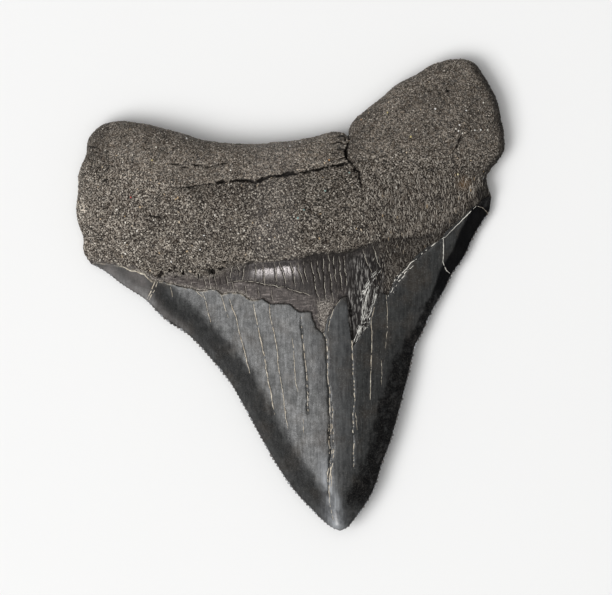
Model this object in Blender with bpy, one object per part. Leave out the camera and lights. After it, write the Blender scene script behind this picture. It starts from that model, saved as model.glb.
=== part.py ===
"""A fossil megalodon tooth, lying on the flat labial face of its crown and root.

The tooth is one solid. Its outline, edges and cracks were read off a view straight down, as
(column, row) points, and TOOTH_LENGTH gives those points their real size. Heights are above
the table. +X is to the right in that view, +Y runs from the tip to the root, and +Z is up.
"""

import math

import bmesh
import bpy
import numpy as np
from mathutils import Vector, kdtree, noise
from mathutils.geometry import delaunay_2d_cdt

MM = 0.001

# Driving dimensions
TOOTH_LENGTH = 92.0 * MM  # from the tip to the top of the taller root lobe, along Y
TOOTH_HEIGHT = 18.4 * MM  # from the table to the crest of the root
ROOT_RIM_HEIGHT = 3.5 * MM  # where the root's rounded rim reaches furthest out
SHOULDER_EDGE_HEIGHT = 2.3 * MM  # the cutting edges, above the table, where they leave the root
LOWER_EDGE_HEIGHT = 4.4 * MM  # the same well down the crown, which bends up from the table
REST_SPOT = (15.0 * MM, 8.5 * MM)  # half axes of the worn flat spot that the tooth rests on

# Rounding of the root's rim, as the width that it takes up in plan and the power of its curve
ROOT_TOP_ROUND = 3.3 * MM
ROOT_UNDER_ROUND = 3.0 * MM
ROOT_ROUND_POWER = 2.3
CROWN_UNDER_ROUND = 9.0 * MM
CROWN_ROUND_POWER = 1.6

# The crown's two faces, as slopes that rise from the cutting edges: (start, slope) from the edge in
LEFT_FACE = ((0.0, 0.88), (4.6 * MM, 0.36))
LEFT_SHOULDER_FACE = ((0.0, 0.33), (2.2 * MM, 1.2), (5.2 * MM, 0.36))
RIGHT_FACE = ((0.0, 1.15), (2.7 * MM, 0.46))
FACE_BLEND = 0.5 * MM
CREST_ROUND = 0.11  # how broadly the two faces round into each other
CREST_LEAST = 0.02 * MM

# Relief
SERRATION_PITCH = 0.80 * MM
SERRATION_DEPTH = 0.26 * MM
SERRATION_FOOT = 0.38 * MM  # how far behind the edge's line a serration ends
FOOT_BLEND = 0.6 * MM  # half width over which the root drops to the enamel
ROOT_BLEND = 7.0 * MM  # width over which the cutting edge's height becomes the root rim's
LABIAL_BLEND = 8.0 * MM  # the same for the under side's rounding
RELIEF_INSET = 2.0 * MM  # relief fades out over this width towards the rim
STEP_RUN = 2.0 * MM  # below the root's foot, the bourlette reaches its full depth over this
STEP_WIDTH = 0.5 * MM
LABIAL_STEP_WIDTH = 0.7 * MM
ENAMEL_STEP = 0.45 * MM  # how far the bourlette lies below the enamel's edge
SHELF_DEPTH = 1.35 * MM  # how far the bourlette lies back under the root's foot
SHELF_STEP = 0.6 * MM  # the width of the step down to it
SHELF_RUN = 4.4 * MM  # the width over which it comes back up
LABIAL_STEP = 0.25 * MM
LABIAL_BOW = 0.55 * MM  # how far the labial face bows up from the table, round the rest spot
LABIAL_RISE = 0.35 * MM
WRINKLE_PITCH = 1.2 * MM
WRINKLE_DEPTH = 0.24 * MM
WRINKLE_SPAN = (-12.6 * MM, 19.2 * MM)  # from left to right
WRINKLE_LEAN = 0.1
WRINKLE_PATCH = 2.6 * MM  # how far apart the folds' deep and shallow stretches lie
CROWN_BEND = 1.5 * MM  # how far the crown's under side lifts from the table towards the tip
LUMP_DEPTH = 0.30 * MM
LUMP_SIZE = 7.0 * MM
SMALL_LUMP_SIZE = LUMP_SIZE / 2.2
LUMP_SEED = 3.7
SMALL_LUMP_SEED = 9.1
WRINKLE_SEED = 5.2
UNDER_SEED = 21.3
PIT_RADIUS = 0.45 * MM
PIT_DEPTH = 0.7 * MM

# Spacing of the mesh's points
ROOT_RIM_GAP = 1.45 * MM
RIM_CLEARANCE = 0.7 * MM
FEATURE_CLEARANCE = 0.22 * MM
WRINKLE_CLEARANCE = 0.36 * MM
SERRATION_CLEARANCE = 0.3 * MM
ROW_CLEARANCE = 0.35 * MM
UNDER_ROW_CLEARANCE = 0.2 * MM
UNDER_CLEARANCE = 0.5 * MM
TOP_GAP = 1.5 * MM
UNDER_GAP = 3.0 * MM
LINE_GAP = 1.4 * MM
ROOT_INSETS = (0.14 * MM, 0.7 * MM, 1.7 * MM, 3.1 * MM)
CROWN_INSETS = (1.1 * MM,)
ROOT_UNDER_INSETS = (0.25 * MM, 1.1 * MM, 2.6 * MM)
CROWN_UNDER_INSETS = (1.6 * MM,)
REST_SIDES = 24
REST_TRIANGLE = 6.0 * MM  # from the middle of the rest spot to the corners of its largest facet

# Outline, as (column, row) points of the view
LEFT_EDGE = (
    (91, 264), (105, 272), (122, 285), (145, 300), (164, 319), (188, 335), (210, 358), (230, 383),
    (244, 407), (256, 429), (274, 461), (295, 492), (309, 507), (324, 522), (332, 528), (340, 530.5),
)
RIGHT_EDGE = (
    (340, 530.5), (347, 528), (355, 519), (366, 504), (373, 492), (382, 465), (390, 444), (400, 409),
    (406, 386), (410, 370), (416, 345), (424, 330), (431, 314), (438, 302), (445, 290), (452, 275),
    (464, 258), (474, 237), (483, 222), (490, 211), (491.5, 197),
)
ROOT_OUTLINE = (
    (491.5, 197), (488, 187), (486, 179), (489.5, 170.5), (497, 161.5), (503.5, 151), (504.2, 137),
    (501, 120), (496.5, 100), (491, 88), (482.5, 73.5), (475, 63.5), (468, 60), (459, 59), (447, 60.3),
    (433, 64.6), (419, 73), (398, 84.2), (380, 99), (366, 110), (353.5, 121), (349, 129), (347.5, 136),
    (343.5, 133), (335.5, 132), (317, 136), (299, 140), (280, 142), (261, 144), (228, 143.5),
    (200, 139.5), (187, 135), (162, 128), (139, 123), (111, 122.3), (99, 127), (89, 138), (86, 155),
    (79, 173), (79, 189), (76.6, 211), (78, 221), (83, 235), (84, 252), (91, 264),
)

# Lines on the lingual face, from left to right. Both run on past the outline at their ends.
ROOT_FOOT = (
    (60, 256), (96, 259), (120, 263), (134, 265), (143, 270), (157, 276), (170, 271), (189, 273),
    (203, 275), (215, 273), (233, 264), (257, 260), (278, 259), (297, 257), (316, 252), (348, 250),
    (368, 244), (383, 240), (399, 238), (419, 237), (436, 230), (452, 217), (468, 203), (482, 190),
    (520, 176),
)
ENAMEL_MARGIN = (
    (60, 262), (91, 262), (120, 265), (145, 273), (153, 281), (164, 282), (178, 286), (192, 288),
    (202, 292), (210, 289), (217, 290), (222, 295), (229, 293), (241, 293), (251, 301), (263, 299),
    (270, 303), (288, 304), (299, 312), (311, 312), (316, 328), (323, 333), (328, 317), (340, 299),
    (346, 296), (350, 330), (353, 346), (360, 335), (368, 326), (372, 305), (380, 292), (388, 295),
    (394, 279), (406, 266), (416, 256), (426, 248), (438, 241), (445, 233), (460, 219), (477, 204),
    (492, 192), (520, 178),
)
LABIAL_MARGIN = (
    (60, 262), (91, 259), (140, 240), (200, 220), (290, 206), (380, 198), (440, 195), (489, 193),
    (520, 190),
)

# Cracks and grooves: points, half width and depth
CRACKS = (
    (((176, 190), (200, 186), (221, 185), (240, 182), (257, 182), (265, 179), (286, 176), (305, 172),
      (316, 170), (332, 166), (347, 165)), 0.30 * MM, 1.3 * MM),
    (((348, 138), (350, 141), (346, 148), (346, 156), (349, 162), (356, 166), (358, 173), (362, 180),
      (366, 192)), 0.40 * MM, 1.5 * MM),
    (((169, 165), (200, 167), (228, 165)), 0.3 * MM, 0.5 * MM),
    (((147, 216), (156, 217), (166, 219)), 0.3 * MM, 0.5 * MM),
    (((461, 135), (456, 146), (450, 156)), 0.4 * MM, 0.6 * MM),
    (((367, 162), (378, 159), (390, 156)), 0.5 * MM, 0.5 * MM),
    (((301, 322), (304, 351), (307, 390), (308, 418)), 0.26 * MM, 0.3 * MM),
    (((323, 335), (327, 354), (327, 379), (329, 405), (330, 435), (331, 448), (329, 478), (329, 497)),
     0.28 * MM, 0.5 * MM),
    (((349, 306), (351, 335), (352, 360), (353, 379), (354, 399), (352, 417), (353, 444), (353, 467)),
     0.28 * MM, 0.4 * MM),
)

# Small pits in the root, most of them where it crumbles above the bourlette
PITS = (
    (447, 92), (271, 168), (170, 274), (184, 274), (196, 275), (214, 276), (224, 270), (96, 201),
    (396, 118), (432, 186), (408, 216),
)

# The slab between the two upper cracks lies a little below the lobe beside it
SLAB = ((110, 110), (110, 178), (184, 189), (221, 185), (257, 182), (305, 172), (347, 165), (346, 148),
        (350, 141), (348, 120), (300, 110))
SLAB_DROP = 0.55 * MM
SLAB_FADE = 14.0 * MM
SLAB_STEP_BLEND = 0.25 * MM

# Heights in millimetres over spots of the root and the bourlette, before the rim is rounded
LEFT_LOBE_SPOTS = (
    (100, 140, 7.6), (96, 178, 8.7), (94, 215, 8.2), (98, 245, 6.2), (130, 140, 9.0), (130, 176, 10.6),
    (130, 210, 11.2), (130, 236, 9.8), (132, 256, 7.0), (150, 276, 5.8),
)
MIDDLE_SPOTS = (
    (200, 150, 10.2), (200, 175, 12.4), (200, 205, 14.4), (200, 230, 14.2), (200, 252, 12.2),
    (200, 275, 9.8), (290, 152, 10.8), (290, 172, 13.0), (290, 194, 15.8), (290, 218, 17.9),
    (290, 236, 17.8), (290, 250, 16.3), (290, 264, 14.0), (290, 282, 12.9), (290, 306, 12.2),
    (264, 264, 13.3), (264, 280, 12.0), (322, 250, 16.1), (322, 266, 13.9), (322, 288, 12.6),
)
RIGHT_LOBE_SPOTS = (
    (368, 125, 9.8), (368, 150, 12.2), (368, 184, 14.8), (368, 212, 15.6), (368, 238, 14.2),
    (368, 262, 12.0), (380, 292, 10.4), (420, 95, 9.6), (420, 130, 12.2), (420, 165, 13.6),
    (420, 198, 12.9), (420, 226, 10.9), (458, 78, 7.3), (460, 110, 9.8), (460, 150, 10.4),
    (460, 180, 9.2), (456, 208, 7.9), (488, 112, 6.8), (490, 145, 6.6), (486, 172, 5.2),
)
CROWN_SPOTS = ((230, 310, 9.6), (345, 320, 10.4), (400, 270, 8.6))
SPOTS = LEFT_LOBE_SPOTS + MIDDLE_SPOTS + RIGHT_LOBE_SPOTS + CROWN_SPOTS

TIP_ROW = 530.5
LOBE_ROW = 59.0
VIEW_CENTRE = (290.4, (TIP_ROW + LOBE_ROW) / 2)
REST_CENTRE = (284, 250)
EDGE_LIFT_ROWS = (230, 430)  # between these rows the cutting edges rise from the table
BEND_ROWS = (300, 540)
SHELF_COLUMNS = (205, 240, 337, 372)  # the shelf deepens between the first two, and ends in the last
SHOULDER_COLUMNS = (170, 215)  # the left shoulder's own face gives way to the crown's between these
SCALE = TOOTH_LENGTH / (TIP_ROW - LOBE_ROW)

FOSSIL_COLOUR = (0.075, 0.068, 0.060, 1.0)
FOSSIL_ROUGHNESS = 0.62


# Curves

def plan(points):
    """Real positions of (column, row) points of the view, in metres."""
    view = np.asarray(points, float)[:, :2]
    return (view - VIEW_CENTRE) * (SCALE, -SCALE)


def smooth_curve(corners, steps=10):
    """A smooth open curve through its corner points, as a dense line of points."""
    gaps = np.linalg.norm(np.diff(corners, axis=0), axis=1)[:, None]
    slopes = np.diff(corners, axis=0) / gaps
    tangents = np.empty_like(corners)
    tangents[0], tangents[-1] = slopes[0], slopes[-1]
    tangents[1:-1] = (slopes[:-1] * gaps[1:] + slopes[1:] * gaps[:-1]) / (gaps[:-1] + gaps[1:])
    t = np.linspace(0, 1, steps, endpoint=False)[None, :, None]
    start, end = corners[:-1, None], corners[1:, None]
    bend_in, bend_out = tangents[:-1, None] * gaps[:, None], tangents[1:, None] * gaps[:, None]
    line = (
        (2 * t**3 - 3 * t**2 + 1) * start + (t**3 - 2 * t**2 + t) * bend_in
        + (3 * t**2 - 2 * t**3) * end + (t**3 - t**2) * bend_out
    )
    return np.vstack([line.reshape(-1, 2), corners[-1]])


def along(line):
    """The distance from a line's start to each of its points."""
    return np.concatenate([[0], np.cumsum(np.linalg.norm(np.diff(line, axis=0), axis=1))])


def spaced(line, gap, even=False):
    """A line's points again, at equal gaps close to the one given; an even count of gaps if asked."""
    travel = along(line)
    count = max(2, round(travel[-1] / gap))
    if even:
        count += count % 2
    stops = np.linspace(0, travel[-1], count + 1)
    return np.stack([np.interp(stops, travel, line[:, axis]) for axis in (0, 1)], axis=1)


def normals(line):
    """Unit normals of a line, to the right of its direction."""
    tangent = np.gradient(line, axis=0)
    tangent /= np.linalg.norm(tangent, axis=1)[:, None]
    return np.stack([tangent[:, 1], -tangent[:, 0]], axis=1)


# Measures over the plan

def distance(points, line):
    """The distance from each point to the nearest spot of a line."""
    start, step = line[:-1], np.diff(line, axis=0)
    offset = points[:, None] - start[None]
    share = np.clip((offset * step).sum(2) / (step**2).sum(1), 0, 1)
    return np.linalg.norm(offset - share[..., None] * step, axis=2).min(1)


def above(points, line):
    """The signed distance to a line that runs from left to right, positive towards the root."""
    level = np.interp(points[:, 0], line[:, 0], line[:, 1])
    return distance(points, line) * np.sign(points[:, 1] - level)


def inside(points, ring):
    """True for the points inside a closed ring."""
    x, y = points[:, :1], points[:, 1:]
    ax, ay = ring[:, 0], ring[:, 1]
    bx, by = np.roll(ax, -1), np.roll(ay, -1)
    crosses = (ay > y) != (by > y)
    reach = ax + (y - ay) * (bx - ax) / np.where(by == ay, 1, by - ay)
    return (crosses & (x < reach)).sum(1) % 2 == 1


def ramp(value):
    """0 to 1 smoothly, as the value goes from 0 to 1."""
    t = np.clip(value, 0, 1)
    return t * t * (3 - 2 * t)


def between_rows(points, rows):
    """0 to 1 smoothly, as a point goes down the view from the first row to the second."""
    first, last = ((VIEW_CENTRE[1] - row) * SCALE for row in rows)
    return ramp((first - points[:, 1]) / (first - last))


def between_columns(points, columns):
    """0 to 1 smoothly, as a point goes from the first column of the view to the second."""
    first, last = ((column - VIEW_CENTRE[0]) * SCALE for column in columns)
    return ramp((points[:, 0] - first) / (last - first))


def rounded(inset, width, power):
    """The share of full height at some way in from a rounded rim of the given width."""
    return (1 - (1 - np.clip(inset / width, 0, 1)) ** power) ** (1 / power)


def face_rise(inset, zones):
    """The rise of a face behind a cutting edge, from its (start, slope) zones."""
    before = zones[0][1]
    total = before * inset
    for start, slope in zones[1:]:
        total = total + (slope - before) * FACE_BLEND * np.logaddexp(0, (inset - start) / FACE_BLEND)
        before = slope
    return total


def lumps(points, size, seed):
    """Smooth random waves of unit depth over the plan."""
    return np.array([noise.noise(Vector((x / size, y / size, seed))) for x, y in points])


class HeightSpline:
    """A thin plate that bends smoothly through heights over spots of the plan."""

    def __init__(self, spots):
        self.at = plan(spots)
        heights = np.array([spot[2] * MM for spot in spots])
        count = len(spots)
        system = np.zeros((count + 3, count + 3))
        system[:count, :count] = self.bend(self.at)
        system[:count, count] = 1
        system[:count, count + 1:] = self.at
        system[count:, :count] = system[:count, count:].T
        self.weights = np.linalg.solve(system, np.concatenate([heights, np.zeros(3)]))

    def bend(self, points):
        square = ((points[:, None] - self.at[None]) ** 2).sum(2)
        return 0.5 * square * np.log(np.maximum(square, 1e-18))

    def __call__(self, points):
        terms = np.hstack([self.bend(points), np.ones((len(points), 1)), points])
        return terms @ self.weights


# The tooth's own lines, at their real size
LEFT_LINE = smooth_curve(plan(LEFT_EDGE))
RIGHT_LINE = smooth_curve(plan(RIGHT_EDGE))
ROOT_LINE = smooth_curve(plan(ROOT_OUTLINE))
OUTLINE = np.vstack([LEFT_LINE[:-1], RIGHT_LINE[:-1], ROOT_LINE])
FOOT_LINE = plan(ROOT_FOOT)
MARGIN_LINE = plan(ENAMEL_MARGIN)
LABIAL_LINE = smooth_curve(plan(LABIAL_MARGIN))
SLAB_RING = plan(SLAB)
ROOT_FORM = HeightSpline(SPOTS)


# Heights

def crown_share(points, foot, margin):
    """0 on the root, 1 on the enamel, and a smooth change over the bourlette between them."""
    below_foot = np.maximum(0, FOOT_BLEND - above(points, foot))
    above_margin = np.maximum(0, FOOT_BLEND + above(points, margin))
    return ramp(below_foot / (below_foot + above_margin + 1e-9))


def rim_height(points):
    """The height of the outline: even round the root, and rising along the cutting edges."""
    root = ramp(0.5 + above(points, FOOT_LINE) / ROOT_BLEND)
    lift = between_rows(points, EDGE_LIFT_ROWS)
    edge = SHOULDER_EDGE_HEIGHT + (LOWER_EDGE_HEIGHT - SHOULDER_EDGE_HEIGHT) * lift
    return edge + (ROOT_RIM_HEIGHT - edge) * root


def slab_drop(points):
    """How far the slab between the upper cracks has sunk, most beside the right lobe."""
    edge = np.vstack([SLAB_RING, SLAB_RING[:1]])
    side = np.where(inside(points, SLAB_RING), 1, -1) * distance(points, edge)
    lobe = distance(points, plan(((347, 150), (347, 165))))
    return SLAB_DROP * ramp(0.5 + side / SLAB_STEP_BLEND) * (1 - ramp(lobe / SLAB_FADE))


def crack_depth(points):
    """The depth of the cracks' grooves, which run out at their ends."""
    total = np.zeros(len(points))
    for corners, half_width, depth in CRACKS:
        line = plan(corners)
        ends = np.linalg.norm(points[:, None] - line[[0, -1]][None], axis=2).min(1)
        groove = np.exp(-((distance(points, line) / half_width) ** 2))
        total = np.maximum(total, depth * groove * (0.25 + 0.75 * ramp(ends / (2 * MM))))
    return total


def pit_depth(points):
    """The depth of the small pits."""
    away = np.linalg.norm(points[:, None] - plan(PITS)[None], axis=2).min(1)
    return PIT_DEPTH * (1 - ramp(away / PIT_RADIUS))


def wrinkles(points, margin_distance, foot_distance):
    """The bourlette's fine folds, which run from the root towards the tip."""
    first, last = WRINKLE_SPAN
    lean = points[:, 0] + WRINKLE_LEAN * points[:, 1]
    depth = WRINKLE_DEPTH * ramp(-foot_distance / MM) * ramp(margin_distance / (1.5 * MM))
    middle = ramp((lean - first) / (3 * MM)) * ramp((last - lean) / (3 * MM))
    uneven = 0.6 + 0.9 * lumps(np.stack([lean, 0.3 * points[:, 1]], axis=1), WRINKLE_PATCH, WRINKLE_SEED)
    return depth * middle * uneven * np.cos(2 * math.pi * lean / WRINKLE_PITCH)


def lingual_height(points):
    """The height of the upper, domed face over points of the plan."""
    inset = distance(points, OUTLINE)
    rim = rim_height(points)
    foot, margin = above(points, FOOT_LINE), above(points, MARGIN_LINE)
    crown_part = crown_share(points, FOOT_LINE, MARGIN_LINE)
    left_inset = distance(points, LEFT_LINE)
    left = face_rise(left_inset, LEFT_FACE)
    shoulder = 1 - between_columns(points, SHOULDER_COLUMNS)
    left = left + shoulder * (face_rise(left_inset, LEFT_SHOULDER_FACE) - left)
    right = face_rise(distance(points, RIGHT_LINE), RIGHT_FACE)
    crest = CREST_ROUND * (left + right) + CREST_LEAST
    crown = rim - crest * np.logaddexp(-left / crest, -right / crest)
    root = rim + (ROOT_FORM(points) - rim) * rounded(inset, ROOT_TOP_ROUND, ROOT_ROUND_POWER)
    away = ramp(inset / RELIEF_INSET)
    relief = LUMP_DEPTH * lumps(points, LUMP_SIZE, LUMP_SEED) * (1 - crown_part)
    relief += 0.5 * LUMP_DEPTH * lumps(points, SMALL_LUMP_SIZE, SMALL_LUMP_SEED) * (1 - crown_part)
    relief -= crack_depth(points) + pit_depth(points) + slab_drop(points)
    relief -= ENAMEL_STEP * ramp(-foot / STEP_RUN) * ramp(0.5 + margin / STEP_WIDTH)
    relief += wrinkles(points, margin, foot) - shelf_drop(points, foot) * ramp(0.5 + margin / STEP_WIDTH)
    return crown_part * crown + (1 - crown_part) * root + relief * away


def shelf_drop(points, foot_distance):
    """How far the bourlette lies back under the root's foot."""
    middle = between_columns(points, SHELF_COLUMNS[:2]) * (1 - between_columns(points, SHELF_COLUMNS[2:]))
    back = ramp(-foot_distance / SHELF_STEP)
    return SHELF_DEPTH * middle * back * (1 - np.clip((-foot_distance - SHELF_STEP) / SHELF_RUN, 0, 1))


def rest_reach(points):
    """How far out a point is from the middle of the rest spot: 1 at the spot's own edge."""
    return np.linalg.norm((points - plan([REST_CENTRE])) / REST_SPOT, axis=1)


def labial_height(points):
    """The height of the under side, which is nearly flat and touches the table at one worn spot."""
    inset = distance(points, OUTLINE)
    rim = rim_height(points)
    root_side = above(points, LABIAL_LINE)
    reach = rest_reach(points)
    bow = LABIAL_RISE * ramp((reach - 1) / 0.5) + LABIAL_BOW * np.clip((reach - 1) / 3, 0, 1) ** 1.5
    lumpy = 1 + 0.35 * lumps(points, LUMP_SIZE, UNDER_SEED)
    step = LABIAL_STEP * ramp(0.5 + root_side / LABIAL_STEP_WIDTH) * ramp((reach - 1) / 0.6)
    bend = CROWN_BEND * between_rows(points, BEND_ROWS)
    level = np.minimum(bow * lumpy + step + bend, rim)
    root = rounded(inset, ROOT_UNDER_ROUND, ROOT_ROUND_POWER)
    crown = rounded(inset, CROWN_UNDER_ROUND, CROWN_ROUND_POWER)
    root_part = ramp(0.5 + root_side / LABIAL_BLEND)
    return rim - (rim - level) * (root_part * root + (1 - root_part) * crown)


# Points of the plan

def serrated(line):
    """A cutting edge with its fine teeth: points that stand out and lie back in turn."""
    points = spaced(line, SERRATION_PITCH / 2, even=True)
    side = np.where(np.arange(len(points)) % 2 == 1, 0.5, -0.5) * SERRATION_DEPTH
    side[[0, -1]] = 0
    return points + side[:, None] * normals(points)


def rim_points():
    """The closed outline, with the serrated cutting edges first."""
    root = spaced(ROOT_LINE, ROOT_RIM_GAP)
    return np.vstack([serrated(LEFT_LINE)[:-1], serrated(RIGHT_LINE)[:-1], root[:-1]])


def serration_feet():
    """A point behind each fine tooth of the cutting edges, where it joins the bevel."""
    rows = []
    for line in (LEFT_LINE, RIGHT_LINE):
        points = spaced(line, SERRATION_PITCH / 2, even=True)
        rows.append((points - SERRATION_FOOT * normals(points))[1::2])
    return np.vstack(rows)


def inset_points(root_insets, crown_insets, gap):
    """Rows of points that follow the outline at set distances inside it."""
    rows = []
    cutting_edge = np.vstack([LEFT_LINE[:-1], RIGHT_LINE])
    for line, insets in ((ROOT_LINE, root_insets), (cutting_edge, crown_insets)):
        for inset in insets:
            base = spaced(line, gap)
            row = base - inset * normals(base)
            rows.append(row[distance(row, OUTLINE) > 0.9 * inset])
    return np.vstack(rows)


def beside(line, gap, offsets):
    """Rows of points along a line and beside it."""
    base = spaced(line, gap)
    return np.vstack([base + offset * normals(base) for offset in offsets])


def around(centres, half_axes, count):
    """Rings of points round the centres."""
    turn = np.linspace(0, 2 * math.pi, count, endpoint=False)
    ring = np.stack([np.cos(turn), np.sin(turn)], axis=1) * half_axes
    return (centres[:, None] + ring[None]).reshape(-1, 2)


def lingual_feature_points():
    """Points along the cracks, round the pits, and along the enamel's margin and the left bevel."""
    rows = []
    for corners, half_width, _ in CRACKS:
        rows.append(beside(plan(corners), LINE_GAP, (0, 1.7 * half_width, -1.7 * half_width)))
    rows.append(beside(MARGIN_LINE, LINE_GAP, (0.28 * MM, -0.28 * MM)))
    ridge = spaced(LEFT_LINE, TOP_GAP)
    rows.append(ridge - LEFT_FACE[1][0] * normals(ridge))
    rows.append(plan(PITS))
    rows.append(around(plan(PITS), (PIT_RADIUS, PIT_RADIUS), 6))
    return np.vstack(rows)


def wrinkle_points():
    """Rows of points on the crests and in the furrows of the bourlette's folds."""
    first, last = WRINKLE_SPAN
    columns = WRINKLE_PITCH / 2 * np.arange(math.ceil(2 * first / WRINKLE_PITCH), 2 * last / WRINKLE_PITCH)
    rows = []
    for drop in np.linspace(0.6 * MM, 8.4 * MM, 6):
        level = np.interp(columns, FOOT_LINE[:, 0], FOOT_LINE[:, 1]) - drop
        row = np.stack([columns - WRINKLE_LEAN * level, level], axis=1)
        rows.append(row[above(row, MARGIN_LINE) > 0])
    return np.vstack(rows)


def lattice(gap):
    """An even triangular net of points that covers the tooth's box."""
    low, high = OUTLINE.min(0), OUTLINE.max(0)
    columns = np.arange(low[0], high[0], gap)
    rows = np.arange(low[1], high[1], gap * math.sqrt(0.75))
    shift = (np.arange(len(rows)) % 2) * gap / 2
    x = columns[None] + shift[:, None]
    y = np.broadcast_to(rows[:, None], x.shape)
    return np.stack([x.ravel(), y.ravel()], axis=1)


def thinned(groups):
    """The groups' points in turn, without those too near an earlier one: (points, clearance) pairs."""
    kept = []
    for points, clearance in groups:
        tree = kdtree.KDTree(len(kept))
        for index, point in enumerate(kept):
            tree.insert((*point, 0), index)
        tree.balance()
        for point in points:
            nearest = tree.find((*point, 0))[2]
            if nearest is None or nearest > clearance:
                kept.append(point)
    return np.array(kept)


def within_rim(points):
    """The points that lie well inside the outline."""
    points = points[inside(points, OUTLINE)]
    return points[distance(points, OUTLINE) > RIM_CLEARANCE]


def lingual_points():
    """The upper face's inner points: cracks and pits, folds, rows along the rim, then an even net."""
    return thinned((
        (within_rim(lingual_feature_points()), FEATURE_CLEARANCE),
        (within_rim(wrinkle_points()), WRINKLE_CLEARANCE),
        (serration_feet(), SERRATION_CLEARANCE),
        (inset_points(ROOT_INSETS, CROWN_INSETS, ROOT_RIM_GAP), ROW_CLEARANCE),
        (within_rim(lattice(TOP_GAP)), 0.62 * TOP_GAP),
    ))


def labial_points():
    """The under face's inner points: the rest spot, rows along the rim and margin, then a net."""
    centre = plan([REST_CENTRE])
    net = np.vstack([beside(LABIAL_LINE, UNDER_GAP, (0.35 * MM, -0.35 * MM)), lattice(UNDER_GAP)])
    return thinned((
        (around(centre, REST_SPOT, REST_SIDES), 0),
        (around(centre, (REST_TRIANGLE, REST_TRIANGLE), 3), 0),
        (inset_points(ROOT_UNDER_INSETS, CROWN_UNDER_INSETS, ROOT_RIM_GAP), UNDER_ROW_CLEARANCE),
        (within_rim(net[rest_reach(net) > 1.1]), UNDER_CLEARANCE),
    ))


# The solid

def triangulated(rim, inner):
    """Triangles over the plan that keep the rim's edges, as indices into rim then inner points."""
    points = [Vector(point) for point in np.vstack([rim, inner])]
    edges = [(i, (i + 1) % len(rim)) for i in range(len(rim))]
    made = delaunay_2d_cdt(points, edges, [], 1, 1e-9)
    source = [origins[0] for origins in made[3]]
    return [[source[i] for i in triangle] for triangle in made[2]]


def add_face_sheet(body, rim_verts, rim, inner, heights, upward):
    """One face of the tooth: its inner points at their heights, sewn to the shared rim."""
    verts = rim_verts + [body.verts.new((*point, z)) for point, z in zip(inner, heights)]
    for triangle in triangulated(rim, inner):
        order = triangle if upward else triangle[::-1]
        body.faces.new([verts[i] for i in order])


def tooth_mesh():
    """The tooth as one closed mesh: a lingual and a labial face that share the serrated rim."""
    body = bmesh.new()
    rim = rim_points()
    rim_verts = [body.verts.new((*point, z)) for point, z in zip(rim, rim_height(rim))]
    top = lingual_points()
    add_face_sheet(body, rim_verts, rim, top, lingual_height(top), True)
    under = labial_points()
    add_face_sheet(body, rim_verts, rim, under, labial_height(under), False)
    mesh = bpy.data.meshes.new("tooth")
    body.to_mesh(mesh)
    body.free()
    mesh.shade_smooth()
    mesh.set_sharp_from_angle(angle=math.radians(50))
    return mesh


def fossil_material():
    """Dark grey fossil bone and enamel, dull on the whole."""
    material = bpy.data.materials.new("fossil")
    material.use_nodes = True
    shader = material.node_tree.nodes["Principled BSDF"]
    shader.inputs["Base Color"].default_value = FOSSIL_COLOUR
    shader.inputs["Roughness"].default_value = FOSSIL_ROUGHNESS
    shader.inputs["Metallic"].default_value = 0.0
    return material


def set_on_table(mesh):
    """Brings the crest to its height, and puts the middle of the mesh's box over the origin."""
    box = np.array([vertex.co for vertex in mesh.vertices])
    low, high = box.min(0), box.max(0)
    rise = TOOTH_HEIGHT / (high[2] - low[2])
    for vertex in mesh.vertices:
        x, y, z = vertex.co
        vertex.co = (x - (low[0] + high[0]) / 2, y - (low[1] + high[1]) / 2, (z - low[2]) * rise)


def main():
    for thing in list(bpy.data.objects):
        bpy.data.objects.remove(thing)
    group = bpy.data.collections.new("fossil_megalodon_tooth")
    bpy.context.scene.collection.children.link(group)
    mesh = tooth_mesh()
    set_on_table(mesh)
    mesh.materials.append(fossil_material())
    group.objects.link(bpy.data.objects.new("tooth", mesh))


main()
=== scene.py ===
"""A fossil megalodon tooth: granular root, wrinkled bourlette and glossy, cracked enamel.

The tooth lies on its flat labial face. Its outline, cracks and margins are (column, row) points
of a view straight down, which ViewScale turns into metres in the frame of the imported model.
"""

from __future__ import annotations

import itertools
import logging
import math
from collections.abc import Callable, Sequence
from dataclasses import dataclass, field
from enum import Enum
from functools import cached_property

import bpy
import numpy as np
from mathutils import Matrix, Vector, kdtree, noise
from mathutils.geometry import delaunay_2d_cdt

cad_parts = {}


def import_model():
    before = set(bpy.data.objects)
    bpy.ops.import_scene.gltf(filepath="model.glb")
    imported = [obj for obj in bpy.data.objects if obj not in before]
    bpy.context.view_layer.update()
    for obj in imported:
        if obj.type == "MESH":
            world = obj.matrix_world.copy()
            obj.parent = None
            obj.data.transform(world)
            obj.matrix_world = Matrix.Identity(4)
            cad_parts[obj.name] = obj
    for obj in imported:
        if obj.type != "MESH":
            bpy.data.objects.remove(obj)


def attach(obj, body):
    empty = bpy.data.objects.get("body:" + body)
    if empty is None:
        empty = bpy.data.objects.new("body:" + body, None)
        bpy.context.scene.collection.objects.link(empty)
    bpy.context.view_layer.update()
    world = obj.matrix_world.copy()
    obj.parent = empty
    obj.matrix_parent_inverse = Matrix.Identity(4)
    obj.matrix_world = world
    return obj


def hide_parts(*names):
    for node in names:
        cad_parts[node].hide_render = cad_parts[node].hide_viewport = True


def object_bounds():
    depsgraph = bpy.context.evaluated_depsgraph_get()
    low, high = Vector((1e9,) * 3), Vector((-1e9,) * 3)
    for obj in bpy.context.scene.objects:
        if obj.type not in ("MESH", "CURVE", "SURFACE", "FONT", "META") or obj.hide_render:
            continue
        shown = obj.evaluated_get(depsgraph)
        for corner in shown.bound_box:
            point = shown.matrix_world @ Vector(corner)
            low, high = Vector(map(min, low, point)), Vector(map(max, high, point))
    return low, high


MM = 0.001
LOG = logging.getLogger("fossil_tooth")

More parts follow.
